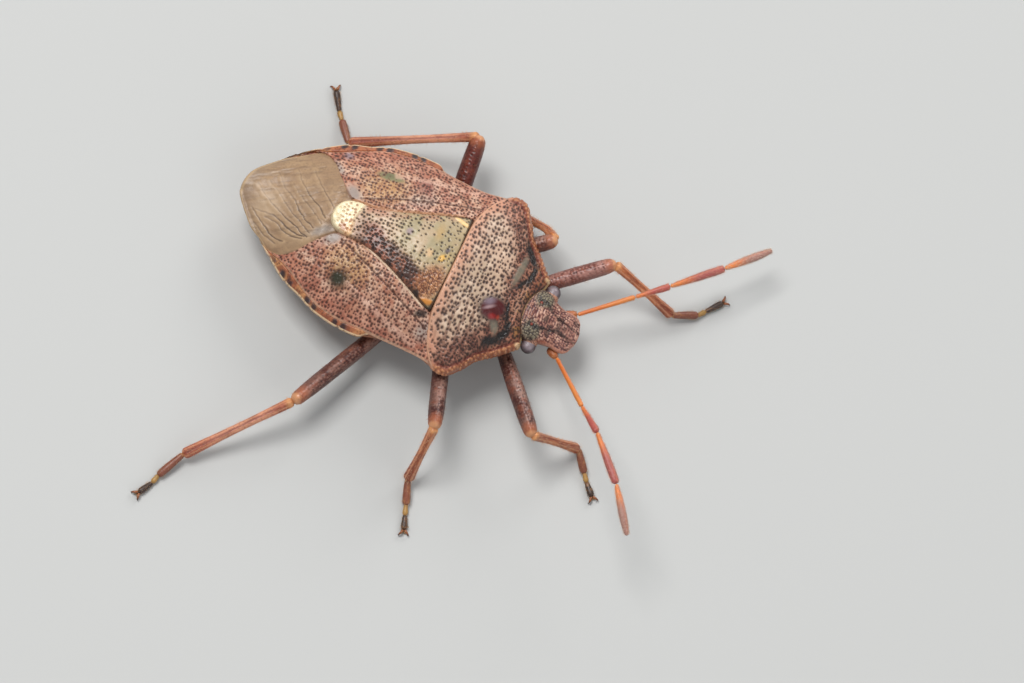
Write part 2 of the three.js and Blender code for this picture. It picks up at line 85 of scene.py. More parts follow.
# Half width of the abdomen that the wings cover
LID = CORIUM_OUTER + [[-5.85, 1.86], [-6.1, 1.72], [-6.5, 1.6], [-7.0, 1.2]]
BELLY_Z = [[-0.7, 1.6], [-1.2, 1.42], [-2.2, 1.1], [-3.0, 0.95], [-5.0, 0.95], [-6.0, 1.05], [-7.0, 1.3]]
HEAD_TABLE = [  # station, half width, height of the top and of the underside
    [3.05, 0.9, 2.9, 1.6], [3.4, 0.95, 2.92, 1.55], [3.7, 0.98, 2.88, 1.5], [3.95, 0.95, 2.8, 1.48],
    [4.15, 0.84, 2.7, 1.49], [4.3, 0.77, 2.62, 1.5],
    [4.6, 0.71, 2.48, 1.55], [4.9, 0.73, 2.33, 1.6], [5.12, 0.68, 2.2, 1.66], [5.27, 0.53, 2.1, 1.72],
    [5.36, 0.28, 2.02, 1.8],
]
RING_BROWN = "6a3520"
THORAX_GROOVES = (0.15, 1.42)
ABDOMEN_JOINTS = [-1.35, -2.28, -3.47, -4.6, -5.45, -6.1]

LEGS = {
    "front_left": dict(coxa=(0.87, 2.9, 1.0), knee=(3.04, 5.46, 2.0), ankle=(2.71, 8.14, 0.36),
                       joints=[(3.19, 8.99, 0.17), (3.42, 9.16, 0.12)], tip=(4.0, 9.6, 0.13)),
    "front_right": dict(coxa=(-0.87, 2.9, 1.0), knee=(-3.86, 5.35, 2.5), ankle=(-3.09, 7.14, 0.36),
                        joints=[(-3.74, 7.72, 0.17), (-3.96, 7.91, 0.12)], tip=(-4.36, 8.3, 0.13)),
    "middle_left": dict(coxa=(1.2, 1.05, 1.0), knee=(2.75, 3.22, 2.5), bend=(3.13, 2.72, 1.86),
                        ankle=(3.52, 1.55, 0.36), joints=[(3.56, 0.72, 0.17), (3.56, 0.42, 0.12)],
                        tip=(3.52, -0.12, 0.13)),
    "middle_right": dict(coxa=(-1.2, 1.05, 1.0), knee=(-5.18, 2.19, 2.8), ankle=(-6.74, 2.24, 0.36),
                         joints=[(-7.54, 2.58, 0.17), (-7.84, 2.69, 0.12)], tip=(-8.34, 2.88, 0.13)),
    "hind_left": dict(coxa=(1.3, -0.25, 1.0), knee=(4.93, -0.71, 2.3), ankle=(3.16, -4.71, 0.36),
                      joints=[(3.86, -5.27, 0.17), (4.09, -5.46, 0.12)], tip=(4.74, -5.89, 0.13)),
    "hind_right": dict(coxa=(-1.3, -0.25, 1.0), knee=(-6.28, -2.52, 1.7), ankle=(-9.42, -5.14, 0.36),
                       joints=[(-10.42, -5.59, 0.17), (-10.7, -5.65, 0.12)], tip=(-11.24, -5.93, 0.13)),
}
FEELERS = {
    "left": [(0.66, 4.62, 1.72), (0.85, 5.04, 1.86), (2.25, 6.58, 2.2), (3.12, 7.52, 2.3), (4.62, 8.99, 2.1),
             (6.04, 10.26, 1.8)],
    "right": [(-0.66, 4.62, 1.72), (-0.88, 5.02, 1.92), (-2.27, 6.47, 2.9), (-2.99, 7.28, 3.45),
              (-4.38, 8.61, 3.7), (-5.82, 9.7, 3.6)],
}
BEAK_PATH = [(0, 5.08, 1.5), (0, 4.85, 1.16), (0, 4.2, 1.04), (0, 3.2, 1.02), (0, 2.2, 1.02), (0, 1.25, 1.05)]


# Numbers and patterns

FAR = 9.0  # further than any pit or line reaches


def ramp(low, high, x):
    """0 below low, 1 above high, and a smooth S between them; low may be the larger."""
    t = np.clip((x - low) / (high - low), 0, 1)
    return t * t * (3 - 2 * t)


def along(table, s, column=1):
    """Value at station s, by cubic pieces through the rows of a table, with the mean slope at each row."""
    rows = np.asarray(table, float)
    rows = rows[np.argsort(rows[:, 0])]
    x, y = rows[:, 0], rows[:, column]
    slope = np.empty_like(y)
    slope[1:-1] = (y[2:] - y[:-2]) / (x[2:] - x[:-2])
    slope[0] = (y[1] - y[0]) / (x[1] - x[0])
    slope[-1] = (y[-1] - y[-2]) / (x[-1] - x[-2])
    s = np.asarray(s, float)
    k = np.clip(np.searchsorted(x, s) - 1, 0, len(x) - 2)
    h = x[k + 1] - x[k]
    t = np.clip((s - x[k]) / h, 0, 1)
    return ((2 * t**3 - 3 * t**2 + 1) * y[k] + (t**3 - 2 * t**2 + t) * h * slope[k]
            + (3 * t**2 - 2 * t**3) * y[k + 1] + (t**3 - t**2) * h * slope[k + 1])


def dice(i, j, seed):
    """Fixed pseudo-random number from 0 to 1 for a lattice cell: the fraction of a large sine."""
    h = np.sin(i * 127.1 + j * 311.7 + seed * 74.7) * 43758.5453
    return h - np.floor(h)


def cloud(x, y, size, seed, layers=3):
    """Soft noise from 0 to 1: lattice dice blended smoothly, in layers each half the size and strength."""
    total, weight = 0.0, 0.0
    for n in range(layers):
        u, v = x / size * 2**n + 17.3 * n, y / size * 2**n - 9.1 * n
        i, j = np.floor(u), np.floor(v)
        a, b = ramp(0, 1, u - i), ramp(0, 1, v - j)
        low = dice(i, j, seed) * (1 - a) + dice(i + 1, j, seed) * a
        high = dice(i, j + 1, seed) * (1 - a) + dice(i + 1, j + 1, seed) * a
        total = total + (low * (1 - b) + high * b) * 0.5**n
        weight += 0.5**n
    return total / weight


def pits(x, y, cell, size, seed, keep=1.0):
    """Round pits on a jittered lattice: depth of each point in its nearest pit, 1 at the middle, 0 outside.

    keep is the share of lattice cells that hold a pit, a number or an array over the points.
    """
    gx, gy = np.floor(x / cell), np.floor(y / cell)
    near = np.full(np.shape(x), FAR)
    for di in (-1, 0, 1):
        for dj in (-1, 0, 1):
            i, j = gx + di, gy + dj
            px = (i + 0.5 + 0.62 * (dice(i, j, seed) - 0.5)) * cell
            py = (j + 0.5 + 0.62 * (dice(i, j, seed + 1) - 0.5)) * cell
            r = size * (0.7 + 0.6 * dice(i, j, seed + 2))
            d = np.hypot(x - px, y - py) / r
            near = np.minimum(near, np.where(dice(i, j, seed + 3) < keep, d, FAR))
    return 1 - ramp(0.45, 1.05, near)


def spot(w, s, at, size, soft=0.35, turn=0.0):
    """Soft-edged ellipse with half axes size, turned by degrees: 1 inside, fading to 0 across its rim."""
    a = math.radians(turn)
    x, y = w - at[0], s - at[1]
    u = (x * math.cos(a) + y * math.sin(a)) / size[0]
    v = (-x * math.sin(a) + y * math.cos(a)) / size[1]
    return 1 - ramp(1 - soft, 1 + soft, np.hypot(u, v))


def distance(w, s, points):
    """Distance from the nearest straight piece of a chain of plan points."""
    best = np.full(np.shape(w), FAR)
    for (w0, s0), (w1, s1) in zip(points[:-1], points[1:]):
        dx, dy = w1 - w0, s1 - s0
        t = np.clip(((w - w0) * dx + (s - s0) * dy) / (dx * dx + dy * dy), 0, 1)
        best = np.minimum(best, np.hypot(w - w0 - t * dx, s - s0 - t * dy))
    return best


def stroke(w, s, points, width, soft=0.5):
    """Soft line along a chain of plan points: 1 on the line, 0 beyond its width."""
    return 1 - ramp(width * (1 - soft), width * (1 + soft), distance(w, s, points))


def paint(code):
    """Screen colour rrggbb as linear light."""
    c = np.array([int(code[k:k + 2], 16) / 255 for k in (0, 2, 4)])
    return np.where(c <= 0.04045, c / 12.92, ((c + 0.055) / 1.055) ** 2.4)


def over(base, code, mask):
    """A coat of one colour laid over the base where the mask is 1."""
    m = np.clip(np.asarray(mask, float), 0, 1)[..., None]
    return base * (1 - m) + paint(code) * m


def coats(tint, layers):
    """Coats of colour laid over one another in turn, each given as a colour and its mask."""
    for code, mask in layers:
        tint = over(tint, code, mask)
    return tint


def flat(shape, code):
    """One colour over a whole grid."""
    return np.broadcast_to(paint(code), tuple(shape) + (3,)).copy()


# Surfaces of the body


def half(s):
    """Half width of the body at station s."""
    return along(BODY_HALF, s)


def back_z(w, s):
    """Height of the back: an arch from margin to ridge, by one minus the 2.3rd power of the width's share."""
    x = np.clip(np.abs(w) / half(s), 0, 1)
    margin = along(MARGIN_Z, s)
    return margin + (along(RIDGE_Z, s) - margin) * (1 - x**2.3)


def mirror(points):
    """The same points on the bug's other side."""
    return [(-p[0],) + tuple(p[1:]) for p in points]


def chain(points):
    """Smooth curve through plan points, as a function from 0 to 1 of its chord length."""
    p = np.asarray(points, float)
    run = np.concatenate([[0], np.cumsum(np.hypot(*np.diff(p, axis=0).T))])
    table = np.column_stack([run / run[-1], p])
    return lambda t: np.stack([along(table, np.clip(t, 0, 1), 1), along(table, np.clip(t, 0, 1), 2)], -1)


def patch(front, back, side0, side1, nu, nv):
    """Plan points between four edges: the two ruled blends added, less the blend of the corners."""
    u, v = np.meshgrid(np.linspace(0, 1, nu + 1), np.linspace(0, 1, nv + 1))
    U, V = u[..., None], v[..., None]
    f, b, l, r = front(u), back(u), side0(v), side1(v)
    corners = ((1 - U) * (1 - V) * front(0.0) + U * (1 - V) * front(1.0)
               + (1 - U) * V * back(0.0) + U * V * back(1.0))
    plan = (1 - V) * f + V * b + (1 - U) * l + U * r - corners
    return plan[..., 0], plan[..., 1], u, v


def rim_drop(w, s, radius):
    """How far a rounded rim falls below the sheet: a quarter circle of the distance to the nearest edge."""
    du = np.hypot(np.gradient(w, axis=1), np.gradient(s, axis=1))
    dv = np.hypot(np.gradient(w, axis=0), np.gradient(s, axis=0))
    nv, nu = w.shape
    i, j = np.meshgrid(np.arange(nu), np.arange(nv))
    d = np.minimum(np.minimum(i, nu - 1 - i) * du, np.minimum(j, nv - 1 - j) * dv)
    q = np.clip(1 - d / radius, 0, 1)
    return radius * (1 - np.sqrt(1 - q**2)), d


# Meshes and materials


def mesh_piece(name, points, faces, tint, gloss, material, nodes):
    """Makes one closed mesh from corner points in metres and lists of faces, and turns its faces outward."""
    points = np.asarray(points, float).reshape(-1, 3)
    quads = [np.asarray(f, int) for f in faces if len(f)]
    volume = 0.0
    middle = points.mean(axis=0)
    for f in quads:
        p = points[f] - middle
        for k in range(1, f.shape[1] - 1):
            volume += np.einsum("ij,ij->", p[:, 0], np.cross(p[:, k], p[:, k + 1]))
    if volume < 0:
        quads = [f[:, ::-1] for f in quads]
    mesh = bpy.data.meshes.new(name)
    mesh.vertices.add(len(points))
    mesh.vertices.foreach_set("co", points.ravel())
    loops = np.concatenate([f.ravel() for f in quads])
    sizes = np.concatenate([np.full(len(f), f.shape[1]) for f in quads])
    mesh.loops.add(len(loops))
    mesh.loops.foreach_set("vertex_index", loops)
    mesh.polygons.add(len(sizes))
    mesh.polygons.foreach_set("loop_start", np.concatenate([[0], np.cumsum(sizes)[:-1]]))
    mesh.polygons.foreach_set("use_smooth", np.ones(len(sizes), bool))
    mesh.update(calc_edges=True)
    mesh.validate()
    colour = mesh.color_attributes.new("tint", "FLOAT_COLOR", "POINT")
    rgba = np.concatenate([np.asarray(tint).reshape(-1, 3), np.ones((len(points), 1))], axis=1)
    colour.data.foreach_set("color", rgba.ravel())
    shine = mesh.attributes.new("gloss", "FLOAT", "POINT")
    shine.data.foreach_set("value", np.asarray(gloss, float).ravel())
    mesh.materials.append(material)
    obj = bpy.data.objects.new(name, mesh)
    bpy.context.scene.collection.objects.link(obj)
    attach(obj, "root")
    if nodes:
        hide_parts(*nodes)
    return obj


def grid_faces(rows, columns, offset=0, wrap=False):
    """Corner numbers of the four-sided faces of a grid, row by row, joined round when wrap is set."""
    j, i = np.meshgrid(np.arange(rows - 1), np.arange(columns if wrap else columns - 1), indexing="ij")
    a = offset + j * columns + i
    b = offset + j * columns + (i + 1) % columns
    return np.stack([a, b, b + columns, a + columns], -1).reshape(-1, 4)


def sheet_piece(name, w, s, top, under, tint, gloss, under_code, material, nodes):
    """Closed plate: a top and an under sheet over one plan grid, and a slightly swollen wall round the rim.

    The wall's rows stand out by half a sine wave of their depth, in a colour smoothed along the rim.
    """
    rows, columns = w.shape
    count = rows * columns
    rim = np.concatenate([
        np.arange(columns),
        np.arange(1, rows) * columns + columns - 1,
        (rows - 1) * columns + np.arange(columns - 2, -1, -1),
        np.arange(rows - 2, 0, -1) * columns,
    ])
    rim_w, rim_s, rim_top, rim_low = (x.ravel()[rim] for x in (w, s, top, under))
    along_w, along_s = np.roll(rim_w, -2) - np.roll(rim_w, 2), np.roll(rim_s, -2) - np.roll(rim_s, 2)
    size = np.hypot(along_w, along_s) + 1e-9
    turn_sign = np.sign(np.sum(rim_w * np.roll(rim_s, -1) - np.roll(rim_w, -1) * rim_s))
    flat_tint = tint.reshape(-1, 3)
    code = paint(under_code)
    soft = sum(np.roll(flat_tint[rim], k, axis=0) for k in range(-14, 15, 2)) / 15
    points = [to_metres(w, s, top).reshape(-1, 3), to_metres(w, s, under).reshape(-1, 3)]
    tints = [flat_tint, 0.25 * flat_tint + 0.75 * code]
    tints[1][rim] = 0.3 * soft + 0.7 * code
    for share in (0.12, 0.4, 0.75):
        out = 0.03 * math.sin(math.pi * min(share * 1.3, 1)) * turn_sign
        points.append(to_metres(rim_w + out * along_s / size, rim_s - out * along_w / size,
                                rim_top + (rim_low - rim_top) * share))
        tints.append((1 - 0.6 * share) * soft + 0.6 * share * code)
    upper = grid_faces(rows, columns)
    lower = grid_faces(rows, columns, count)[:, ::-1]
    starts = [rim] + [2 * count + k * len(rim) + np.arange(len(rim)) for k in range(3)] + [rim + count]
    walls = [np.stack([a, b, np.roll(b, -1), np.roll(a, -1)], -1) for a, b in zip(starts[:-1], starts[1:])]
    shine = np.concatenate([gloss.ravel(), gloss.ravel(), np.full(3 * len(rim), 0.4)])
    return mesh_piece(name, np.concatenate(points), [upper, lower] + walls, np.concatenate(tints), shine,
                      material, nodes)


def loop_points(ring):
    """Corner points and faces of a tube given as rings of points, with one pole at each end."""
    rows, columns = ring.shape[:2]
    body = ring[1:-1].reshape(-1, 3)
    points = np.concatenate([body, ring[0].mean(axis=0)[None], ring[-1].mean(axis=0)[None]])
    n = len(body)
    i = np.arange(columns)
    j = (i + 1) % columns
    start = np.stack([np.full(columns, n), j, i], -1)
    last = (rows - 3) * columns
    end = np.stack([np.full(columns, n + 1), last + i, last + j], -1)
    return points, [grid_faces(rows - 2, columns, 0, True), np.concatenate([start, end])]


def ring_mesh(ring, tint, gloss):
    """Closed mesh of a tube or ball given in plan millimetres, with a tint and a gloss for every point."""
    points, faces = loop_points(to_metres(ring[..., 0], ring[..., 1], ring[..., 2]))
    tints = np.concatenate([tint[1:-1].reshape(-1, 3), tint[0, :1], tint[-1, :1]])
    shine = np.concatenate([gloss[1:-1].ravel(), gloss[0, :1], gloss[-1, :1]])
    return points, faces, tints, shine


def capped(ring, last, push):
    """Rings in metres, closed at both ends: a pole, the rings, a smaller last ring and a pushed out pole."""
    first = np.broadcast_to(ring[0].mean(axis=0), ring[0].shape)
    pole = np.broadcast_to(ring[-1].mean(axis=0) + np.array([0, push, 0]), ring[0].shape)
    return np.concatenate([first[None], ring, last[None], pole[None]])


def joined(parts):
    """Several closed meshes as one: points, faces, tints and glosses put end to end."""
    points, tints, shines, faces, offset = [], [], [], {3: [], 4: []}, 0
    for p, fs, t, g in parts:
        points.append(p)
        tints.append(np.asarray(t).reshape(-1, 3))
        shines.append(np.asarray(g, float).ravel())
        for f in fs:
            if len(f):
                faces[f.shape[1]].append(f + offset)
        offset += len(p)
    return (np.concatenate(points), [np.concatenate(f) for f in faces.values() if f],
            np.concatenate(tints), np.concatenate(shines))


def joined_piece(name, parts, material, nodes):
    """One named piece made of several closed meshes."""
    points, faces, tints, gloss = joined(parts)
    mesh_piece(name, points, faces, tints, gloss, material, nodes)


def add_node(tree, kind, x, y, **values):
    """A node placed at (x, y) in its tree, with its settings."""
    node = tree.nodes.new(kind)
    node.location = (x, y)
    for key, value in values.items():
        setattr(node, key, value)
    return node


def build_grain_group():
    """Fine grain of the shell: a tint made uneven by small noise, and a height for the bump."""
    group = bpy.data.node_groups.new("shell_grain", "ShaderNodeTree")
    group.interface.new_socket("Tint", in_out="INPUT", socket_type="NodeSocketColor")
    scale = group.interface.new_socket("Scale", in_out="INPUT", socket_type="NodeSocketFloat")
    scale.default_value = 9000
    depth = group.interface.new_socket("Variation", in_out="INPUT", socket_type="NodeSocketFloat")
    depth.default_value = 0.25
    group.interface.new_socket("Color", in_out="OUTPUT", socket_type="NodeSocketColor")
    group.interface.new_socket("Height", in_out="OUTPUT", socket_type="NodeSocketFloat")
    put = lambda kind, x, y, **v: add_node(group, kind, x, y, **v)
    entry = put("NodeGroupInput", -900, 0)
    out = put("NodeGroupOutput", 500, 0)
    place = put("ShaderNodeTexCoord", -900, -250)
    fine = put("ShaderNodeTexNoise", -650, -150)
    fine.inputs["Detail"].default_value = 4
    fine.inputs["Roughness"].default_value = 0.65
    cells = put("ShaderNodeTexVoronoi", -650, -450, feature="F1")
    coarse = put("ShaderNodeTexNoise", -650, 200)
    coarse.inputs["Detail"].default_value = 3
    slow = put("ShaderNodeMath", -820, 250, operation="MULTIPLY")
    slow.inputs[1].default_value = 0.16
    link = group.links.new
    link(entry.outputs["Scale"], slow.inputs[0])
    link(slow.outputs[0], coarse.inputs["Scale"])
    for texture in (fine, cells, coarse):
        link(place.outputs["Object"], texture.inputs["Vector"])
    link(entry.outputs["Scale"], fine.inputs["Scale"])
    link(entry.outputs["Scale"], cells.inputs["Scale"])
    blend = put("ShaderNodeMath", -400, 100, operation="ADD")
    link(fine.outputs["Fac"], blend.inputs[0])
    link(coarse.outputs["Fac"], blend.inputs[1])
    spread = put("ShaderNodeMapRange", -220, 100)
    spread.inputs["From Min"].default_value = 0.6
    spread.inputs["From Max"].default_value = 1.4
    spread.inputs["To Min"].default_value = -0.5
    spread.inputs["To Max"].default_value = 0.5
    link(blend.outputs[0], spread.inputs["Value"])
    gain = put("ShaderNodeMath", -40, 100, operation="MULTIPLY")
    link(spread.outputs[0], gain.inputs[0])
    link(entry.outputs["Variation"], gain.inputs[1])
    level = put("ShaderNodeMath", 120, 100, operation="ADD")
    level.inputs[1].default_value = 1.0
    link(gain.outputs[0], level.inputs[0])
    lit = put("ShaderNodeMix", 300, 100, data_type="RGBA", blend_type="MULTIPLY")
    lit.inputs["Factor"].default_value = 1.0
    link(entry.outputs["Tint"], lit.inputs["A"])
    link(level.outputs[0], lit.inputs["B"])
    link(lit.outputs["Result"], out.inputs["Color"])
    height = put("ShaderNodeMath", -200, -300, operation="ADD")
    link(fine.outputs["Fac"], height.inputs[0])
    link(cells.outputs["Distance"], height.inputs[1])
    link(height.outputs[0], out.inputs["Height"])
    return group


GRAIN = build_grain_group()


def shell(name, rough=0.5, shine=0.3, scale=9000, variation=0.25, bump=0.15, coat=0.0, sheen=0.0):
    """Insect shell: the painted tint with fine grain, smoother where gloss is high, and a fine bump."""
    material = bpy.data.materials.new(name)
    material.use_nodes = True
    tree = material.node_tree
    tree.nodes.clear()
    put = lambda kind, x, y, **v: add_node(tree, kind, x, y, **v)
    out = put("ShaderNodeOutputMaterial", 600, 0)
    body = put("ShaderNodeBsdfPrincipled", 300, 0)
    tint = put("ShaderNodeAttribute", -600, 100, attribute_name="tint")
    gloss = put("ShaderNodeAttribute", -600, -200, attribute_name="gloss")
    grain = put("ShaderNodeGroup", -350, 100)
    grain.node_tree = GRAIN
    grain.inputs["Scale"].default_value = scale
    grain.inputs["Variation"].default_value = variation
    smoothness = put("ShaderNodeMapRange", -350, -200)
    smoothness.inputs["To Min"].default_value = rough
    smoothness.inputs["To Max"].default_value = shine
    relief = put("ShaderNodeBump", 0, -300)
    relief.inputs["Strength"].default_value = bump
    relief.inputs["Distance"].default_value = 0.00002
    link = tree.links.new
    link(tint.outputs["Color"], grain.inputs["Tint"])
    link(grain.outputs["Color"], body.inputs["Base Color"])
    link(gloss.outputs["Fac"], smoothness.inputs["Value"])
    link(smoothness.outputs[0], body.inputs["Roughness"])
    link(grain.outputs["Height"], relief.inputs["Height"])
    link(relief.outputs["Normal"], body.inputs["Normal"])
    body.inputs["Coat Weight"].default_value = coat
    body.inputs["Coat Roughness"].default_value = 0.3
    body.inputs["Sheen Weight"].default_value = sheen
    body.inputs["Sheen Roughness"].default_value = 0.4
    body.inputs["IOR"].default_value = 1.5
    link(body.outputs[0], out.inputs["Surface"])
    return material


# Stage: camera, floor and soft light

bpy.context.scene.view_settings.view_transform = "Standard"

RIGHT = np.array([0.41658, -0.89717, 0.1468])
UP = np.array([0.87767, 0.43899, 0.19229])
BACK = np.array([-0.23696, 0.04874, 0.9703])
EYEPOINT = (np.array([-47.97526, 6.27476, 194.05915]) + SHIFT) * 0.001
FOCAL_PIXELS, IMAGE_WIDTH, SENSOR_WIDTH = 5720, 1024, 36
FLOOR_HALF = 0.6
LAMP_DISTANCE = 0.35

camera_data = bpy.data.cameras.new("camera")
camera = bpy.data.objects.new("camera", camera_data)
bpy.context.scene.collection.objects.link(camera)
bpy.context.scene.camera = camera
camera_data.sensor_width = SENSOR_WIDTH
camera_data.lens = FOCAL_PIXELS / IMAGE_WIDTH * SENSOR_WIDTH
camera_data.clip_start = 0.01
camera_data.clip_end = 10
turn = np.eye(4)
turn[:3, 0], turn[:3, 1], turn[:3, 2], turn[:3, 3] = RIGHT, UP, BACK, EYEPOINT
camera.matrix_world = Matrix(turn.tolist())


def build_floor():
    """Plain pale floor, a flat square."""
    r = FLOOR_HALF
    mesh = bpy.data.meshes.new("floor")
    mesh.from_pydata([(-r, -r, 0), (r, -r, 0), (r, r, 0), (-r, r, 0)], [], [(0, 1, 2, 3)])
    obj = bpy.data.objects.new("floor", mesh)
    material = bpy.data.materials.new("floor_pale")
    material.use_nodes = True
    body = material.node_tree.nodes["Principled BSDF"]
    body.inputs["Base Color"].default_value = (0.5, 0.5, 0.485, 1)
    body.inputs["Roughness"].default_value = 0.8
    mesh.materials.append(material)
    bpy.context.scene.collection.objects.link(obj)


def build_lights():
    """A pale even sky, one broad key lamp from the front left of the picture and two soft fills."""
    world = bpy.data.worlds.new("studio")
    world.use_nodes = True
    world.node_tree.nodes["Background"].inputs["Color"].default_value = (0.93, 0.96, 1.0, 1)
    world.node_tree.nodes["Background"].inputs["Strength"].default_value = 0.42
    bpy.context.scene.world = world
    middle = SHIFT * 0.001
    for name, way, size, power in (
        ("key", 0.45 * UP - 0.15 * RIGHT + 0.8 * BACK, 0.13, 0.95),
        ("fill", -0.6 * UP + 0.5 * RIGHT + 0.7 * BACK, 0.3, 0.2),
        ("rim", 0.9 * UP + 0.6 * RIGHT + 0.35 * BACK, 0.15, 0.4),
    ):
        data = bpy.data.lights.new(name, "AREA")
        data.size = size
        data.energy = power
        lamp = bpy.data.objects.new(name, data)
        bpy.context.scene.collection.objects.link(lamp)
        way = way / np.linalg.norm(way)
        side = np.cross([0.0, 0.0, 1.0], way)
        side = side / np.linalg.norm(side)
        up = np.cross(way, side)
        pose = np.eye(4)
        pose[:3, 0], pose[:3, 1], pose[:3, 2], pose[:3, 3] = side, up, way, middle + way * LAMP_DISTANCE
        lamp.matrix_world = Matrix(pose.tolist())


build_floor()
build_lights()

SHELL = shell("shell_pitted", rough=0.55, shine=0.18, scale=9000, variation=0.3, bump=0.2)
WING = shell("wing_membrane", rough=0.5, shine=0.3, scale=7000, variation=0.2, bump=0.15)
LIMB = shell("leg_shell", rough=0.5, shine=0.32, scale=12000, variation=0.35, bump=0.2)
FEELER = shell("feeler_shell", rough=0.55, shine=0.3, scale=14000, variation=0.25, bump=0.2, sheen=0.3)
EYEBALL = shell("eye_facets", rough=0.4, shine=0.28, scale=20000, variation=0.2, bump=0.1, coat=0.25)

STEP = 0.026  # mesh spacing on the back
SHIELD_THICK, SCUTELLUM_THICK, WING_THICK = 0.42, 0.45, 0.4
MEMBRANE_WIDE = 3.6
PLATE_UNDER = "6a4433"  # colour of the plates' undersides

# Pronotum

SHIELD_SIDE = [(3.36, 1.22), (3.41, 1.5), (3.33, 1.8), (2.88, 2.19), (2.4, 2.5), (1.92, 3.05), (1.3, 3.66)]
SHIELD_REAR = [(3.36, 1.22), (3.0, 0.86), (2.4, 0.53), (1.72, 0.34), (0.8, 0.3)]
SHIELD_FRONT = [(-1.3, 3.66), (-0.88, 3.56), (-0.45, 3.33), (0, 3.25), (0.45, 3.33), (0.88, 3.56),
                (1.3, 3.66)]
SHIELD_LONG = 3.2
BLACK_MARKS = [  # middle, half axes and turn of the black marks behind the pronotum's front
    ((1.72, 2.68), (0.5, 0.15), -40),
    ((1.0, 2.98), (0.5, 0.1), 5),
    ((0.55, 2.76), (0.3, 0.06), 18),
    ((-1.3, 2.9), (0.42, 0.15), 30),
    ((-1.68, 2.6), (0.34, 0.15), 55),
    ((-0.6, 2.74), (0.45, 0.06), -18),
    ((-0.95, 2.95), (0.2, 0.1), 0),
]


def shield_pits(w, s, size, humeral):
    """Large pits of the pronotum, wider than long and sparser on the shoulders."""
    return pits(w * 0.9, s * 1.12, 0.162, size, 11, 0.97 - 0.35 * humeral)


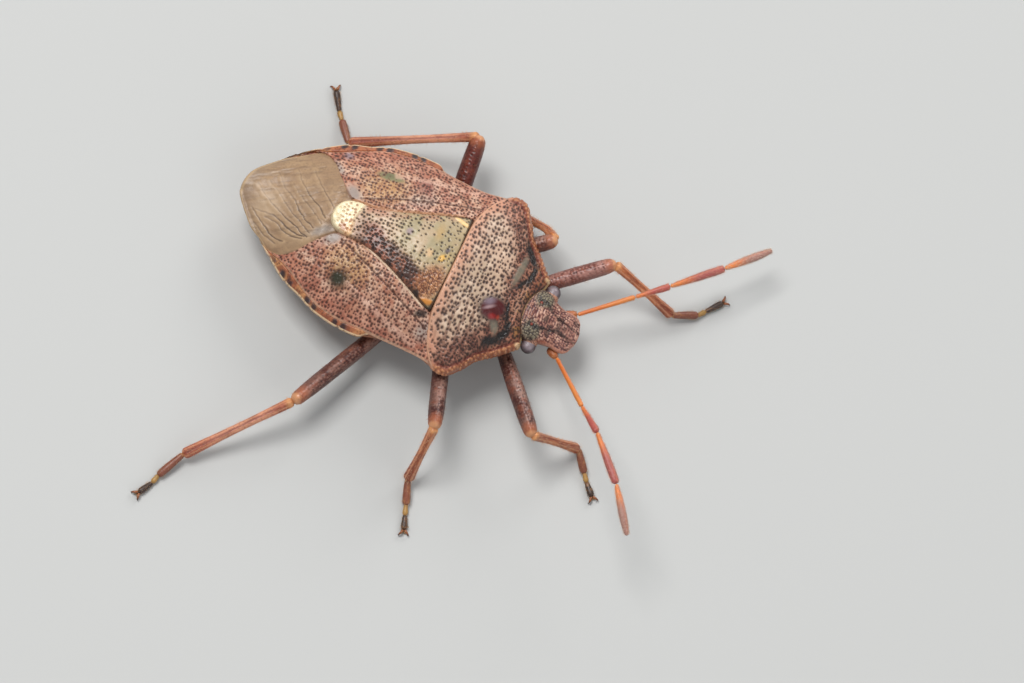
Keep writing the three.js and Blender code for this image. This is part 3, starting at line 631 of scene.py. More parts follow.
def build_pronotum():
    """Shield behind the head: the arched back cut by its outline, pitted, with beaded slanting margins."""
    w, s, _, v = patch(chain(mirror(SHIELD_REAR) + [(0, 0.3)] + SHIELD_REAR[::-1]), chain(SHIELD_FRONT),
                       chain(mirror(SHIELD_SIDE)), chain(SHIELD_SIDE), int(6.8 / STEP), int(3.3 / STEP))
    a = np.abs(w)
    edge = distance(a, s, SHIELD_SIDE)
    rear, fore = v * SHIELD_LONG, (1 - v) * SHIELD_LONG
    noise = cloud(w, s, 0.5, 3)
    fine = cloud(w, s, 0.16, 5)
    speck = cloud(w, s, 0.07, 7, 2)

    front = ramp(2.2, 2.7, s + 0.5 * (noise - 0.5) + 0.1 * a)
    humeral = ramp(2.1, 3.0, a + 0.5 * (noise - 0.5))
    side_band = ramp(1.15, 0.65, edge + 0.4 * (noise - 0.5)) * ramp(0.12, 0.22, edge) * ramp(1.0, 1.5, s)
    band = np.clip(side_band + 0.9 * front * ramp(2.9, 2.6, s), 0, 1)
    wrinkles = ramp(0.2, 0.9, np.sin(s * 19 + 6 * noise + 2 * w)) * spot(w, s, (-1.9, 1.5), (1.1, 0.7), 0.6)
    small = pits(w, s, 0.108, 0.045, 21, 0.25 + 0.65 * np.clip(front + band + 0.6 * humeral, 0, 1))
    deep = np.maximum(shield_pits(w, s, 0.06, humeral), 0.9 * small)
    halo = np.maximum(shield_pits(w, s, 0.085, humeral), wrinkles)
    smooth = spot(w, s, (-0.72, 2.2), (0.34, 0.43), 0.2, -35)
    ring = spot(w, s, (-0.72, 2.2), (0.46, 0.54), 0.25, -35)
    calli = np.maximum(spot(w, s, (0.95, 2.53), (0.62, 0.12), 0.5, 4),
                       spot(w, s, (-1.15, 2.48), (0.4, 0.14), 0.5, -35))
    deep = deep * (1 - smooth) * ramp(0.05, 0.14, edge) * (1 - 0.8 * calli) * ramp(0.02, 0.08, rear)
    blacks = np.zeros_like(w)
    for at, size, turned in BLACK_MARKS:
        blacks = np.maximum(blacks, spot(w, s, at, size, 0.45, turned))
    bead = pits(w, s, 0.115, 0.055, 31)
    rim = ramp(0.2, 0.13, edge) * ramp(1.0, 1.4, s)
    collar = ramp(0.16, 0.06, fore) * ramp(1.15, 0.95, a)

    tint = coats(flat(w.shape, "be9f87"), [
        # clouds of the ground colour, then the redder shoulders, rear edge and front
        ("b09b82", 0.6 * ramp(0.45, 0.7, cloud(w, s, 0.9, 9))),
        ("dcc2aa", 0.6 * ramp(0.5, 0.75, cloud(w, s, 0.3, 13))),
        ("c08068", 0.7 * humeral),
        ("c98e72", 0.7 * ramp(0.5, 0.1, rear + 0.2 * (noise - 0.5))),
        ("9a6248", 0.75 * front),
        # marbled red-brown band inside the slanting sides and across the front
        ("a8674e", 0.6 * band),
        ("4f221a", 0.85 * band * ramp(0.36, 0.56, fine)),
        ("a5745e", 0.6 * band * ramp(0.5, 0.7, speck)),
        ("8b5036", 0.75 * ramp(3.02, 3.2, s) * ramp(0.4, 0.6, noise)),
        ("a5743a", 0.6 * ramp(2.9, 3.1, s) * ramp(0.5, 0.65, cloud(w, s, 0.3, 15))),
        # pits with their brown halos, wrinkles, and the two smooth grey bars
        ("7d4a38", 0.55 * halo * (1 - smooth) * ramp(0.1, 0.2, rear)),
        ("26150f", 0.93 * deep),
        ("3a1d16", 0.35 * wrinkles),
        ("6f7060", 0.75 * calli * ramp(0.25, 0.5, fine + 0.25 * calli)),
        ("100c0b", 0.96 * blacks * ramp(0.12, 0.34, fine + 0.3 * blacks)),
        # beaded sides
        ("8a4a2c", 0.85 * rim),
        ("c98a5e", 0.85 * rim * bead * ramp(0.2, 0.5, cloud(w, s, 0.2, 33))),
        ("6b2a1c", 0.75 * ramp(0.27, 0.2, edge) * ramp(0.13, 0.19, edge) * ramp(1.0, 1.4, s)),
        # pale line at the rear, collar behind the head, and the pale front corners
        ("dba988", 0.8 * ramp(0.07, 0.03, rear)),
        ("6e3524", 0.6 * ramp(0.03, 0.012, rear)),
        ("2a1a14", 0.8 * collar * ramp(0.03, 0.06, fore)),
        ("c9a878", 0.85 * ramp(0.05, 0.02, fore) * ramp(1.3, 1.1, a)),
        ("c8a67e", 0.9 * spot(a, s, (1.27, 3.6), (0.09, 0.14), 0.5)),
        # smooth dark red patch on the right, with two painted red glints near its outer front edge and a
        # painted lilac highlight on its inner rear part
        ("1d0c0c", 0.7 * ring),
        ("4a0f12", 0.97 * smooth),
        # painted glints: two bright red flecks on the patch
        ("8f1a16", 0.85 * spot(w, s, (-0.97, 2.3), (0.09, 0.14), 0.7, -20) * ramp(0.3, 0.5, fine)),
        ("a63a22", 0.8 * spot(w, s, (-0.9, 2.5), (0.08, 0.05), 0.7)),
        # painted highlight: lilac sheen on the patch
        ("8d7f8a", 0.65 * spot(w, s, (-0.55, 2.0), (0.11, 0.2), 0.8, -40)),
        ("b59a9c", 0.6 * spot(w, s, (-0.74, 2.06), (0.05, 0.2), 0.8, -40)),
    ])
    z = back_z(w, s) - rim_drop(w, s, 0.11)[0] - 0.036 * deep + 0.03 * (noise - 0.5) + 0.012 * (fine - 0.5)
    for side in (1, -1):
        z = z - 0.05 * spot(w, s, (side * 1.1, 2.86), (0.8, 0.12), 0.6, -4 * side)
    z = z + 0.03 * calli - 0.016 * wrinkles
    z = z + 0.03 * rim * bead - 0.04 * ramp(0.32, 0.22, edge) * ramp(0.13, 0.22, edge) * ramp(1.2, 1.6, s)
    z = z - 0.16 * ramp(0.3, 0.0, fore) * ramp(1.3, 0.9, a)
    w = w + np.sign(w) * 0.03 * rim * (bead - 0.5) * ramp(0.08, 0.0, edge)
    gloss = np.clip(0.45 + 0.45 * smooth + 0.3 * blacks - 0.4 * deep, 0, 1)
    under = np.minimum(back_z(w, s) - SHIELD_THICK + 0.2 * ramp(0.5, 0.1, edge), z - 0.08)
    sheet_piece("pronotum_shell", w, s, z, under, tint, gloss, PLATE_UNDER, SHELL, ["pronotum"])


build_pronotum()


# Scutellum


def build_scutellum():
    """Long shield plate: the arched back between the wings, its round tip raised as a pale callus."""
    u, v = np.meshgrid(np.linspace(-1, 1, int(3.4 / STEP) + 1), np.linspace(0, 1, int(4.6 / STEP) + 1))
    s = 0.45 - 4.6 * (1 - (1 - v) ** 1.3)
    wide = along(SCUTELLUM_HALF, s)
    w = u * wide
    a = np.abs(w)
    noise = cloud(w, s, 0.5, 43)
    fine = cloud(w, s, 0.14, 45)

    right = ramp(0.95, 0.45, w + wide + 0.5 * (noise - 0.5)) * ramp(-0.05, -0.45, s) * ramp(-3.4, -2.6, s)
    left = ramp(0.35, 0.1, wide - w) * ramp(0.0, -0.5, s)
    worm_patch = spot(w, s, (-0.98, -0.14), (0.6, 0.42), 0.4, 15)
    worm = ramp(0.35, 0.6, np.abs(np.sin((fine - 0.5) * 30)))
    callus = ramp(-3.3, -3.46, s + 0.1 * (noise - 0.5) - 0.16 * a)
    corner_left = spot(w, s, (1.47, 0.02), (0.075, 0.36), 0.3, 12)
    corner_right = spot(w, s, (-1.6, 0.0), (0.1, 0.3), 0.3, -12)
    clear = spot(w, s, (0.35, -0.75), (0.5, 0.45), 0.6)
    keep = np.clip(0.65 + 0.3 * ramp(-1.5, -2.2, s) + 0.9 * right + 0.4 * left - 0.5 * clear, 0, 1)
    keep = keep * (1 - 0.3 * callus)
    big = pits(w, s, 0.132, 0.047, 51, keep) * (1 - corner_left) * (1 - corner_right) * (1 - 0.5 * worm_patch)

    tint = coats(flat(w.shape, "a8926e"), [
        # grey-green middle, pinker towards the tip
        ("9a8e6c", 0.7 * spot(w, s, (0.35, -1.0), (0.7, 1.0), 0.6)),
        ("bda082", 0.6 * ramp(0.5, 0.75, noise)),
        ("b8947e", 0.7 * ramp(-1.7, -2.6, s)),
        ("cfb79a", 0.5 * ramp(0.5, 0.7, cloud(w, s, 0.22, 49)) * ramp(-1.5, -2.2, s)),
        # dark right flank and brown left edge
        ("854330", 0.85 * right),
        ("1f100c", 0.85 * right * ramp(0.3, 0.52, fine)),
        ("a5664c", 0.6 * left * ramp(0.35, 0.6, noise)),
        # wormy patch at the right front
        ("c98a5c", 0.8 * worm_patch),
        ("4f1d14", 0.85 * worm_patch * worm),
        # yellow, tan and violet flecks
        ("e0ae56", 0.95 * spot(w, s, (-0.05, -0.13), (0.15, 0.1), 0.4, 30)),
        ("d6ae80", 0.75 * spot(w, s, (-0.06, -0.6), (0.15, 0.12), 0.6)),
        ("c9a86a", 0.6 * spot(w, s, (0.1, 0.05), (0.12, 0.1), 0.7)),
        ("4d4452", 0.85 * spot(w, s, (0.28, -0.06), (0.11, 0.07), 0.6, 30)),
        ("7d6470", 0.75 * spot(w, s, (0.34, -1.52), (0.13, 0.11), 0.7)),
        ("b7935c", 0.6 * spot(w, s, (0.75, -0.55), (0.3, 0.14), 0.7)),
        # pale tip, and the pits
        ("e4d3ac", 0.97 * callus),
        ("d09a68", 0.75 * callus * ramp(-3.68, -3.45, s) * ramp(0.2, -0.4, w)),
        ("9c4c2c", 0.7 * callus * spot(w, s, (-0.42, -3.62), (0.16, 0.2), 0.6) * ramp(0.4, 0.55, fine)),
        ("1e120e", 0.93 * big * (1 - callus)),
        ("9a5f44", 0.8 * big * callus * ramp(-4.05, -3.6, s)),
        # yellow front corners, dark seams along the plate's front sides, and a painted shadow line across its
        # front edge under the pronotum
        ("e6bd80", 0.97 * corner_left),
        ("c57f34", 0.97 * corner_right),
        ("0f0b0a", 0.92 * spot(w, s, (-1.5, -0.42), (0.14, 0.12), 0.4, -25)),
        ("1a110d", 0.85 * ramp(0.07, 0.03, wide - a) * ramp(-0.9, -0.2, s)),
        # painted shadow: dark line across the front, where the plate runs under the pronotum's rear edge
        ("1a100c", 0.9 * ramp(0.25, 0.31, s + 0.03 * a ** 2)),
    ])
    z = back_z(w, s) + 0.02 - rim_drop(w, s, 0.09)[0] - 0.16 * ramp(0.24, 0.34, s) - 0.034 * big
    z = z + 0.02 * (noise - 0.5) + 0.07 * callus
    z = z + 0.04 * (corner_left + corner_right) + 0.012 * (fine - 0.5) - 0.02 * worm_patch * worm
    gloss = np.clip(0.5 + 0.3 * callus - 0.4 * big, 0, 1)
    under = np.minimum(back_z(w, s) - SCUTELLUM_THICK, z - 0.06)
    sheet_piece("scutellum_shell", w, s, z, under, tint, gloss, PLATE_UNDER, SHELL, ["scutellum"])


build_scutellum()


# Leathery parts of the forewings

CORIUM_REAR = [(0.6, -3.72), (0.92, -4.07), (1.28, -4.44), (1.72, -4.8), (1.96, -5.18), (1.96, -5.6)]
MAIN_VEIN = [(2.95, 0.3), (2.7, -0.8), (2.35, -2.0), (2.1, -2.7)]
CLAVAL_SEAM = [(2.35, 0.45), (1.95, -0.6), (1.5, -1.8), (1.05, -2.9), (0.8, -3.5)]
OLIVE_BAR = ((2.0, -2.88), (0.17, 0.46), 0.35, -6)  # middle, half axes, softness and turn, on the left wing


def corium_plan(side, nu, nv):
    """Plan of one wing's leathery part, from under the pronotum to its pointed rear corner."""
    inner = [(float(along(SCUTELLUM_HALF, q)) - 0.06, q) for q in np.arange(0.35, -3.6, -0.3)]
    inner.append(CORIUM_REAR[0])
    outer = [(3.26, 1.2)] + [(x, q) for q, x in CORIUM_OUTER]
    front = [inner[0], (2.4, 0.75), (2.9, 0.98), outer[0]]
    w, s, u, v = patch(chain(front), chain(CORIUM_REAR), chain(inner), chain(outer), nu, nv)
    return side * w, s, u, v


def corium_marks(side, w, s):
    """The marks that the two wings don't share, as coats of colour."""
    if side > 0:
        return [
            ("7d7a58", 0.95 * spot(w, s, *OLIVE_BAR)),
            ("5f5c45", 0.6 * spot(w, s, (2.02, -3.0), (0.1, 0.2), 0.6, -6)),
            ("7f4a44", 0.6 * spot(w, s, (2.15, -1.65), (0.3, 0.3), 0.7)),
            ("bdb4a4", 0.5 * spot(w, s, (1.6, -1.55), (0.22, 0.5), 0.7, -25)),
            ("a4968c", 0.85 * spot(w, s, (1.62, -4.62), (0.32, 0.1), 0.6, -50)),
            ("8b7f86", 0.85 * spot(w, s, (2.2, -4.5), (0.14, 0.17), 0.6)),
        ]
    return [
        ("3a3526", 0.75 * spot(w, s, (-2.04, -2.98), (0.3, 0.3), 0.7, 25)),
        ("12160f", 0.97 * spot(w, s, (-2.04, -3.04), (0.18, 0.22), 0.5, 25)),
        ("968c84", 0.8 * spot(w, s, (-2.45, 0.4), (0.3, 0.25), 0.7)),
    ]


def corium_seam(side, w, s, line):
    """Coats for the pale line beside the scutellum, and on the right wing for the dark spot over its pits."""
    pale = ramp(0.05, 0.035, np.abs(line - 0.06)) * ramp(0.1, -0.1, s)
    if side > 0:
        return [("c2906c", 0.7 * pale)]
    return [
        ("161a10", 0.9 * spot(w, s, (-2.04, -3.04), (0.17, 0.2), 0.6, 25)),
        ("3c3a26", 0.5 * spot(w, s, (-2.04, -2.98), (0.28, 0.28), 0.8, 25)),
        ("e0c4a8", 0.85 * pale * ramp(-2.9, -2.3, s)),
        ("0f0b0a", 0.85 * spot(w, s, (-1.98, 0.05), (0.12, 0.22), 0.4, -25)),
    ]


def build_corium(side):
    """Leathery part of a forewing: the arched back just under the scutellum's level, pitted and veined."""
    w, s, u, v = corium_plan(side, int(2.5 / STEP), int(6.6 / STEP))
    name = "left" if side > 0 else "right"
    seed = 60 if side > 0 else 80
    a = np.abs(w)
    noise = cloud(w, s, 0.55, seed)
    fine = cloud(w, s, 0.17, seed + 1)
    blotch = cloud(w, s, 0.26, seed + 3)

    outer = ramp(0.6, 0.9, u + 0.2 * (noise - 0.5))
    yellow = spot(w, s, (side * 1.5, -2.9), (0.6, 0.8), 0.6, -20 * side)
    grey_end = spot(w, s, (side * 0.88, -3.8), (0.32, 0.2), 0.6, -50 * side)
    vein = stroke(a, s, MAIN_VEIN, 0.09)
    claval = stroke(a, s, CLAVAL_SEAM, 0.03)
    clear = np.maximum(grey_end, 0.8 * spot(w, s, *OLIVE_BAR)) if side > 0 else grey_end
    keep = np.clip(0.92 - 0.3 * vein - clear, 0, 1)
    big = pits(w, s, 0.122, 0.05, seed + 4, keep)
    small = pits(w, s, 0.085, 0.03, seed + 8, 0.6 - 0.5 * clear)
    halo = pits(w, s, 0.122, 0.075, seed + 4, keep)
    line = a - along(SCUTELLUM_HALF, s)

    tint = coats(flat(w.shape, "bf9179"), [
        # brown and pale pink clouds, redder outward, with a yellowish field round the middle
        ("b58366", 0.7 * ramp(0.45, 0.7, noise)),
        ("dcb9a0", 0.65 * ramp(0.48, 0.66, cloud(w, s, 0.2, seed + 2))),
        ("b56e56", 0.55 * outer),
        ("95503c", 0.55 * ramp(0.52, 0.64, blotch)),
        ("b89460", 0.6 * yellow),
        ("8f5230", 0.45 * yellow * ramp(0.5, 0.65, fine)),
        ("8d837c", 0.85 * grey_end),
        *corium_marks(side, w, s),
        # vein, pits with their halos, and the seams
        ("d0a590", 0.55 * vein),
        ("96533e", 0.4 * halo),
        ("30180f", 0.88 * big),
        ("5a2a22", 0.65 * small),
        ("4a2a20", 0.75 * claval),
        *corium_seam(side, w, s, line),
        ("241812", 0.8 * ramp(0.02, -0.02, line) * ramp(-3.3, -2.8, s)),
        ("d8ab8c", 0.6 * ramp(0.965, 0.985, u)),
    ])
    z = back_z(w, s) - 0.06 - rim_drop(w, s, 0.08)[0] - 0.028 * big - 0.014 * small
    z = z + 0.03 * (noise - 0.5) + 0.012 * (fine - 0.5)
    z = z - 0.12 * ramp(0.1, 0.0, u) - 0.1 * ramp(0.05, 0.0, v) + 0.025 * vein - 0.03 * claval
    gloss = np.clip(0.45 - 0.35 * big, 0, 1)
    under = np.minimum(back_z(w, s) - WING_THICK + 0.16 * ramp(0.85, 1.0, u), z - 0.05)
    sheet_piece(f"corium_{name}_shell", w, s, z, under, tint, gloss, PLATE_UNDER, SHELL,
                [f"corium_{name}"])


build_corium(1)
build_corium(-1)


# Wing membrane

MEMBRANE_RIGHT = [(-0.4, -3.6), (-0.75, -3.85), (-1.2, -4.2), (-1.7, -4.6), (-1.98, -5.0), (-1.98, -5.62)]
MEMBRANE_LEFT = [(0.5, -3.6), (1.0, -3.9), (1.5, -4.3), (1.9, -4.75), (2.04, -5.15), (1.9, -5.6)]
MEMBRANE_END = [(-1.98, -5.62), (-1.66, -6.29), (-1.3, -6.74), (-0.87, -7.14), (-0.47, -7.34), (0.02, -7.36),
                (0.54, -7.17), (0.86, -6.88), (1.38, -6.3), (1.9, -5.6)]


def membrane_plan(nu, nv):
    """Plan of the folded membrane, from under the scutellum's tip and the corium to its round outer end.

    Past a limit near the body's outline the width is drawn in by a hyperbolic tangent. The limit lies
    further out at the right of the end, where the membrane bulges, and further in at the left, where the
    ringed margin shows.
    """
    w, s, u, v = patch(chain([(-0.4, -3.6), (0, -3.6), (0.5, -3.6)]), chain(MEMBRANE_END),
                       chain(MEMBRANE_RIGHT), chain(MEMBRANE_LEFT), nu, nv)
    limit = half(s) - 0.26
    drawn_in = 0.16 * ramp(-4.6, -5.1, s) * ramp(-6.5, -6.0, s)
    limit = limit + np.where(w < 0, 0.2 * ramp(-5.9, -6.6, s), -drawn_in)
    extra = np.clip(np.abs(w) - limit, 0, None)
    return np.sign(w) * (np.minimum(np.abs(w), limit) + 0.24 * np.tanh(extra / 0.24)), s, u, v


VEIN_PATHS = [  # chain of plan points, and how dark it is
    ([(-1.16, -4.62), (-0.96, -5.05), (-0.78, -5.53), (-0.45, -6.19), (-0.19, -6.6), (0.03, -6.93)], 1.0),
    ([(-0.8, -4.55), (-0.45, -5.12), (-0.03, -5.59), (0.29, -6.04), (0.69, -6.42)], 0.85),
    ([(-0.3, -4.3), (0.04, -4.78), (0.27, -5.16), (0.62, -5.54), (1.0, -5.87)], 0.85),
    ([(0.1, -4.15), (0.49, -4.59), (0.78, -4.96), (1.22, -5.34)], 0.6),
    ([(-1.16, -4.7), (-1.16, -5.12), (-0.94, -5.62), (-0.83, -5.98), (-0.85, -6.63)], 1.0),
    ([(-1.26, -4.75), (-1.27, -5.29), (-1.04, -5.74), (-0.98, -6.2)], 0.8),
    ([(-1.56, -5.3), (-1.53, -5.62), (-1.35, -5.98), (-1.1, -6.39), (-0.84, -6.75)], 0.9),
    ([(-1.0, -4.6), (-0.75, -5.0), (-0.4, -5.6), (-0.04, -6.09), (0.3, -6.6)], 0.7),
    ([(-0.55, -4.35), (-0.2, -4.85), (0.15, -5.4), (0.5, -5.8)], 0.5),
    ([(-1.7, -5.5), (-1.5, -6.05), (-1.25, -6.5)], 0.6),
]


def build_membrane():
    """Thin end of the right forewing: the falling back surface, with raised veins and fine creases."""
    w, s, u, v = membrane_plan(int(4.2 / STEP), int(3.9 / STEP))
    noise = cloud(w, s, 0.7, 101)
    across, onward = w * 0.86 - s * 0.5, s * 0.86 + w * 0.5  # plan axes turned by 30 degrees, along the veins
    streak = cloud(across * 4, onward * 0.7, 0.5, 103)
    grit = cloud(w, s, 0.05, 105, 2)
    side_edge = np.minimum(u, 1 - u) * MEMBRANE_WIDE
    shore = np.minimum(side_edge, (1 - v) * MEMBRANE_WIDE)
    lines = np.zeros_like(w)
    ridges = np.zeros_like(w)
    sway = 0.07 * (cloud(w, s, 0.22, 107) - 0.5)
    for path, dark in VEIN_PATHS:
        points = [tuple(p) for p in chain(path)(np.linspace(0, 1, 24))]
        fade = 0.35 + 0.65 * ramp(2.2, 0.5, np.hypot(w - path[0][0], s - path[0][1]))
        lines = np.maximum(lines, dark * fade * stroke(w + sway, s + sway, points, 0.021, 0.9))
        ridges = np.maximum(ridges, stroke(w + sway + 0.05, s + sway, points, 0.09, 0.9))
    crease = ramp(0.6, 0.72, cloud(across * 7, onward * 0.8, 0.5, 109)) * ramp(0.1, 0.5, side_edge)

    tint = coats(flat(w.shape, "97795c"), [
        ("a88a68", 0.6 * ramp(0.45, 0.75, noise)),
        ("866c54", 0.5 * ramp(0.5, 0.75, streak)),
        ("7d654e", 0.5 * ramp(0.5, 0.8, grit)),
        ("a98f70", 0.6 * spot(w, s, (-0.5, -6.3), (0.5, 0.5), 0.7)),
        ("8f8a86", 0.6 * spot(w, s, (-0.75, -4.25), (0.45, 0.14), 0.7, 52)),
        # veins and creases, then the darker border and its pale edge
        ("b89a78", 0.35 * ridges),
        ("5f4a38", 0.3 * crease),
        ("3d2c20", 0.9 * lines),
        ("7d6a58", 0.4 * ramp(0.5, 0.1, shore) * ramp(-5.6, -6.4, s)),
        ("c9ab84", 0.5 * ramp(0.09, 0.02, shore)),
    ])
    drop, d = rim_drop(w, s, 0.05)
    z = back_z(w, s) - 0.1 - 0.4 * drop + 0.018 * ridges - 0.02 * lines + 0.05 * (noise - 0.5)
    z = z + 0.035 * (streak - 0.5) - 0.008 * crease - 0.12 * ramp(-4.3, -3.9, s)
    z = z - 0.05 * ramp(0.3, 0.0, side_edge)
    gloss = np.clip(0.3 + 0.3 * (noise - 0.5), 0, 1)
    under = z - 0.06 - 0.1 * ramp(0.0, 0.3, d)
    sheet_piece("wing_membrane_right", w, s, z, under, tint, gloss, "7a6350", WING, ["wing_membrane"])


build_membrane()


# Abdomen and thorax


def abdomen_half(s):
    """Half width of the ringed margin, a little less at each joint between rings, and how near a joint is."""
    dip = sum(np.exp(-(((s - j) / 0.06) ** 2)) for j in ABDOMEN_JOINTS)
    full = half(s) - 0.035 * dip - 0.1 * ramp(-6.3, -6.9, s)
    return 2.9 + (full - 2.9) * ramp(-0.7, -1.6, s), dip


def build_abdomen():
    """Belly and ringed margin: rings round the body, flat above under the wings, boat-shaped below."""
    rows, columns = 330, 260
    s = np.linspace(-0.7, -6.98, rows)[:, None]
    a = np.linspace(0, 2 * np.pi, columns, endpoint=False)[None, :]
    h, dip = abdomen_half(s)
    c, q = np.cos(a), np.sin(a)
    x = np.sign(c) * np.abs(c) ** 0.8
    w = h * x
    edge = np.minimum(along(MARGIN_Z, s), back_z(h, s))
    covered = ramp(-0.05, 0.08, along(LID, s) - np.abs(w))
    sunk = 0.1 * ramp(-6.1, -6.5, s)
    top = back_z(w, s) + 0.02 - 0.33 * covered - sunk
    keel = along(BELLY_Z, s)
    low = keel + (edge - 0.35 - keel) * np.abs(x) ** 3.2 + 0.03 * dip * (1 - np.abs(x))
    blend = np.abs(q) ** 0.35
    z = (edge - 0.12 - sunk) * (1 - blend) + np.where(q >= 0, top, low) * blend
    s = np.broadcast_to(s, w.shape) + 0 * w

    under_side = 3 * (q < 0)
    noise = cloud(w, s + under_side, 0.4, 121)
    fine = cloud(w, s + under_side, 0.13, 123)
    black = np.zeros_like(w)
    holes = np.zeros_like(w)
    for j in ABDOMEN_JOINTS[1:]:
        for off in (-0.17, 0.15):
            black = np.maximum(black, spot(np.abs(w) - h, s, (-0.1, j + off), (0.13, 0.11), 0.5))
        hole_at = (float(half(j + 0.5)) * 0.78, j + 0.45)
        holes = np.maximum(holes, spot(np.abs(w), s, hole_at, (0.07, 0.06), 0.4))
    black = black * (1 - 0.75 * ramp(-5.0, -5.6, s))
    belly = ramp(0.1, -0.2, q + 0 * w)
    big = pits(w, s + 7 * (q < 0), 0.13, 0.034, 125, 0.7)

    tint = coats(flat(w.shape, "a2603f"), [
        ("c4905c", 0.6 * ramp(0.45, 0.7, noise)),
        ("6f3626", 0.6 * ramp(0.48, 0.62, fine)),
        # dark spots of the ringed margin with a grey halo, and its pale edge
        ("8d8a90", 0.5 * ramp(0.1, 0.4, black) * ramp(0.55, 0.7, fine)),
        ("1a1820", 0.9 * black * ramp(0.2, 0.45, fine + 0.2 * black)),
        ("e0c29a", 0.85 * ramp(0.05, 0.03, h - np.abs(w)) * (q > -0.2) * (1 - 0.5 * dip)),
    ])
    low_tint = coats(flat(w.shape, "a5683e"), [
        ("b98a58", ramp(0.4, 0.7, noise)),
        (RING_BROWN, 0.6 * ramp(0.5, 0.65, fine)),
    ])
    tint = tint * (1 - belly[..., None]) + low_tint * belly[..., None]
    tint = coats(tint, [
        # breathing holes, joints between the rings, and pits
        ("17100c", 0.9 * holes * belly),
        ("5c2f1d", 0.5 * dip * belly),
        ("43220f", 0.55 * big),
    ])
    z = z - 0.015 * big * np.sign(q) + 0.02 * holes * belly - 0.02 * dip * (q > 0) * np.abs(x) ** 4
    tail = to_metres(w[-1] * 0.6, s[-1] - 0.06, z[-1] * 0.6 + z[-1].mean() * 0.4)
    points, faces = loop_points(capped(to_metres(w, s, z), tail, 0.00008))
    poles = paint(RING_BROWN)[None]
    tints = np.concatenate([tint.reshape(-1, 3), tint[-1], poles, poles])
    gloss = np.full(len(points), 0.45)
    mesh_piece("abdomen_shell", points, faces, tints, gloss, SHELL, ["abdomen"])


build_abdomen()


def sternum_z(w, s, middle=1.4):
    """Underside of the thorax: flat between the hips, rising outward to the margins."""
    x = np.abs(w) / half(s)
    return middle + (2.12 - middle) * ramp(0.37, 0.6, x) + 0.25 * ramp(0.7, 1.0, x)


def build_thorax():
    """Underside of the thorax in two plates, from the neck to the hind hips, close to the back plates."""
    for node, s0, s1, seed in (("thorax", -1.5, 1.5, 131), ("prosternum", 1.46, 3.58, 137)):
        u, v = np.meshgrid(np.linspace(-1, 1, 151), np.linspace(0, 1, 81))
        s = s0 + (s1 - s0) * v
        w = u * (half(s) - 0.12)
        noise = cloud(w, s, 0.4, seed)
        big = pits(w, s, 0.15, 0.045, seed + 2, 0.85)
        tint = coats(flat(w.shape, "9a6042"), [
            ("b98a62", ramp(0.4, 0.7, noise)),
            ("3a1e14", 0.7 * big),
        ])
        groove = sum(stroke(w, s, [(-3.4, at), (3.4, at)], 0.04) for at in THORAX_GROOVES)
        top = back_z(w, s) - 0.3
        low = sternum_z(w, s) + 0.3 * ramp(-0.7, -1.45, s) + 0.02 * big + 0.04 * groove
        low = np.minimum(low, top - 0.1)
        gloss = np.full(w.shape, 0.35)
        sheet_piece(f"{node}_underside", w, s, top, low, tint, gloss, "8a5a3e", SHELL, [node])


build_thorax()


# Head


def ball_rings(centre, radii, rows, columns):
    """Rings of an ellipsoid from its lower pole to its upper one, with their directions and two angles."""
    b = np.linspace(-np.pi / 2, np.pi / 2, rows)[:, None]
    a = np.linspace(0, 2 * np.pi, columns, endpoint=False)[None, :]
    way = np.stack([np.cos(b) * np.cos(a), np.cos(b) * np.sin(a), np.sin(b) + 0 * a], -1)
    return np.asarray(centre) + way * np.asarray(radii), way, a + 0 * b, b + 0 * a


HEAD_REAR, HEAD_FRONT = 3.05, 5.37
SOCKET_RADIUS = 0.235  # hollow round the middle of each eye


def head_tint(w, s, h, q, upper, noise, fine, green, grains, wrinkle, grooves):
    """Colours of the head: purple-brown with pale granules, dark green brows by the eyes, brown below."""
    flank = np.abs(w) / h
    return coats(flat(w.shape, "50292a"), [
        ("6e3a30", 0.6 * ramp(0.45, 0.7, noise)),
        ("38352c", 0.85 * green),
        ("b07c68", 0.8 * grains * (1 - 0.7 * green)),
        ("8a866c", 0.6 * grains * green),
        ("d6ab94", 0.7 * grains * ramp(0.45, 0.65, fine) * (1 - green)),
        ("b08074", 0.35 * wrinkle),
        # dark clouds and three dark strokes on the crown
        ("1f1312", 0.7 * ramp(0.55, 0.7, cloud(w, s, 0.24, 147)) * upper * (1 - 0.5 * wrinkle)),
        ("15100f", 0.8 * stroke(w, s, [(-0.42, 3.6), (-0.45, 3.85), (-0.36, 4.1)], 0.08, 0.7) * upper),
        ("15100f", 0.7 * stroke(w, s, [(0.5, 3.6), (0.5, 3.85), (0.4, 4.1)], 0.07, 0.7) * upper),
        ("1c1110", 0.75 * stroke(w, s, [(-0.3, 4.35), (-0.12, 4.6), (-0.2, 4.9)], 0.06, 0.8) * upper),
        # lighter rims of the side lobes, grooves and underside
        ("c98a72", 0.8 * ramp(0.84, 0.95, flank) * ramp(4.2, 4.4, s) * ramp(-0.3, 0.1, q + 0 * w)),
        ("a4502e", 0.6 * ramp(0.8, 0.95, flank) * ramp(4.0, 4.15, s) * ramp(4.5, 4.35, s)),
        ("1d1210", 0.55 * grooves * upper),
        ("8f5b3a", 0.8 * (1 - upper)),
    ])


def eye_socket(side):
    """Rough ball behind one eye, which stands out round it as a pale rim."""
    p, way, a, b = ball_rings((side * 0.85, EYE[1] - 0.01, EYE[2]), (0.25, 0.27, 0.265), 60, 80)
    mottle = cloud(a * 0.3, b * 0.3, 0.1, 149)
    tint = coats(flat(a.shape, "a5765f"), [
        ("5a3a30", ramp(0.45, 0.7, mottle)),
        ("cfa88e", 0.8 * ramp(0.2, 0.9, way[..., 0] * side) * ramp(-0.2, 0.4, way[..., 2])),
    ])
    return ring_mesh(p + way * (0.01 * mottle)[..., None], tint, np.full(a.shape, 0.45))


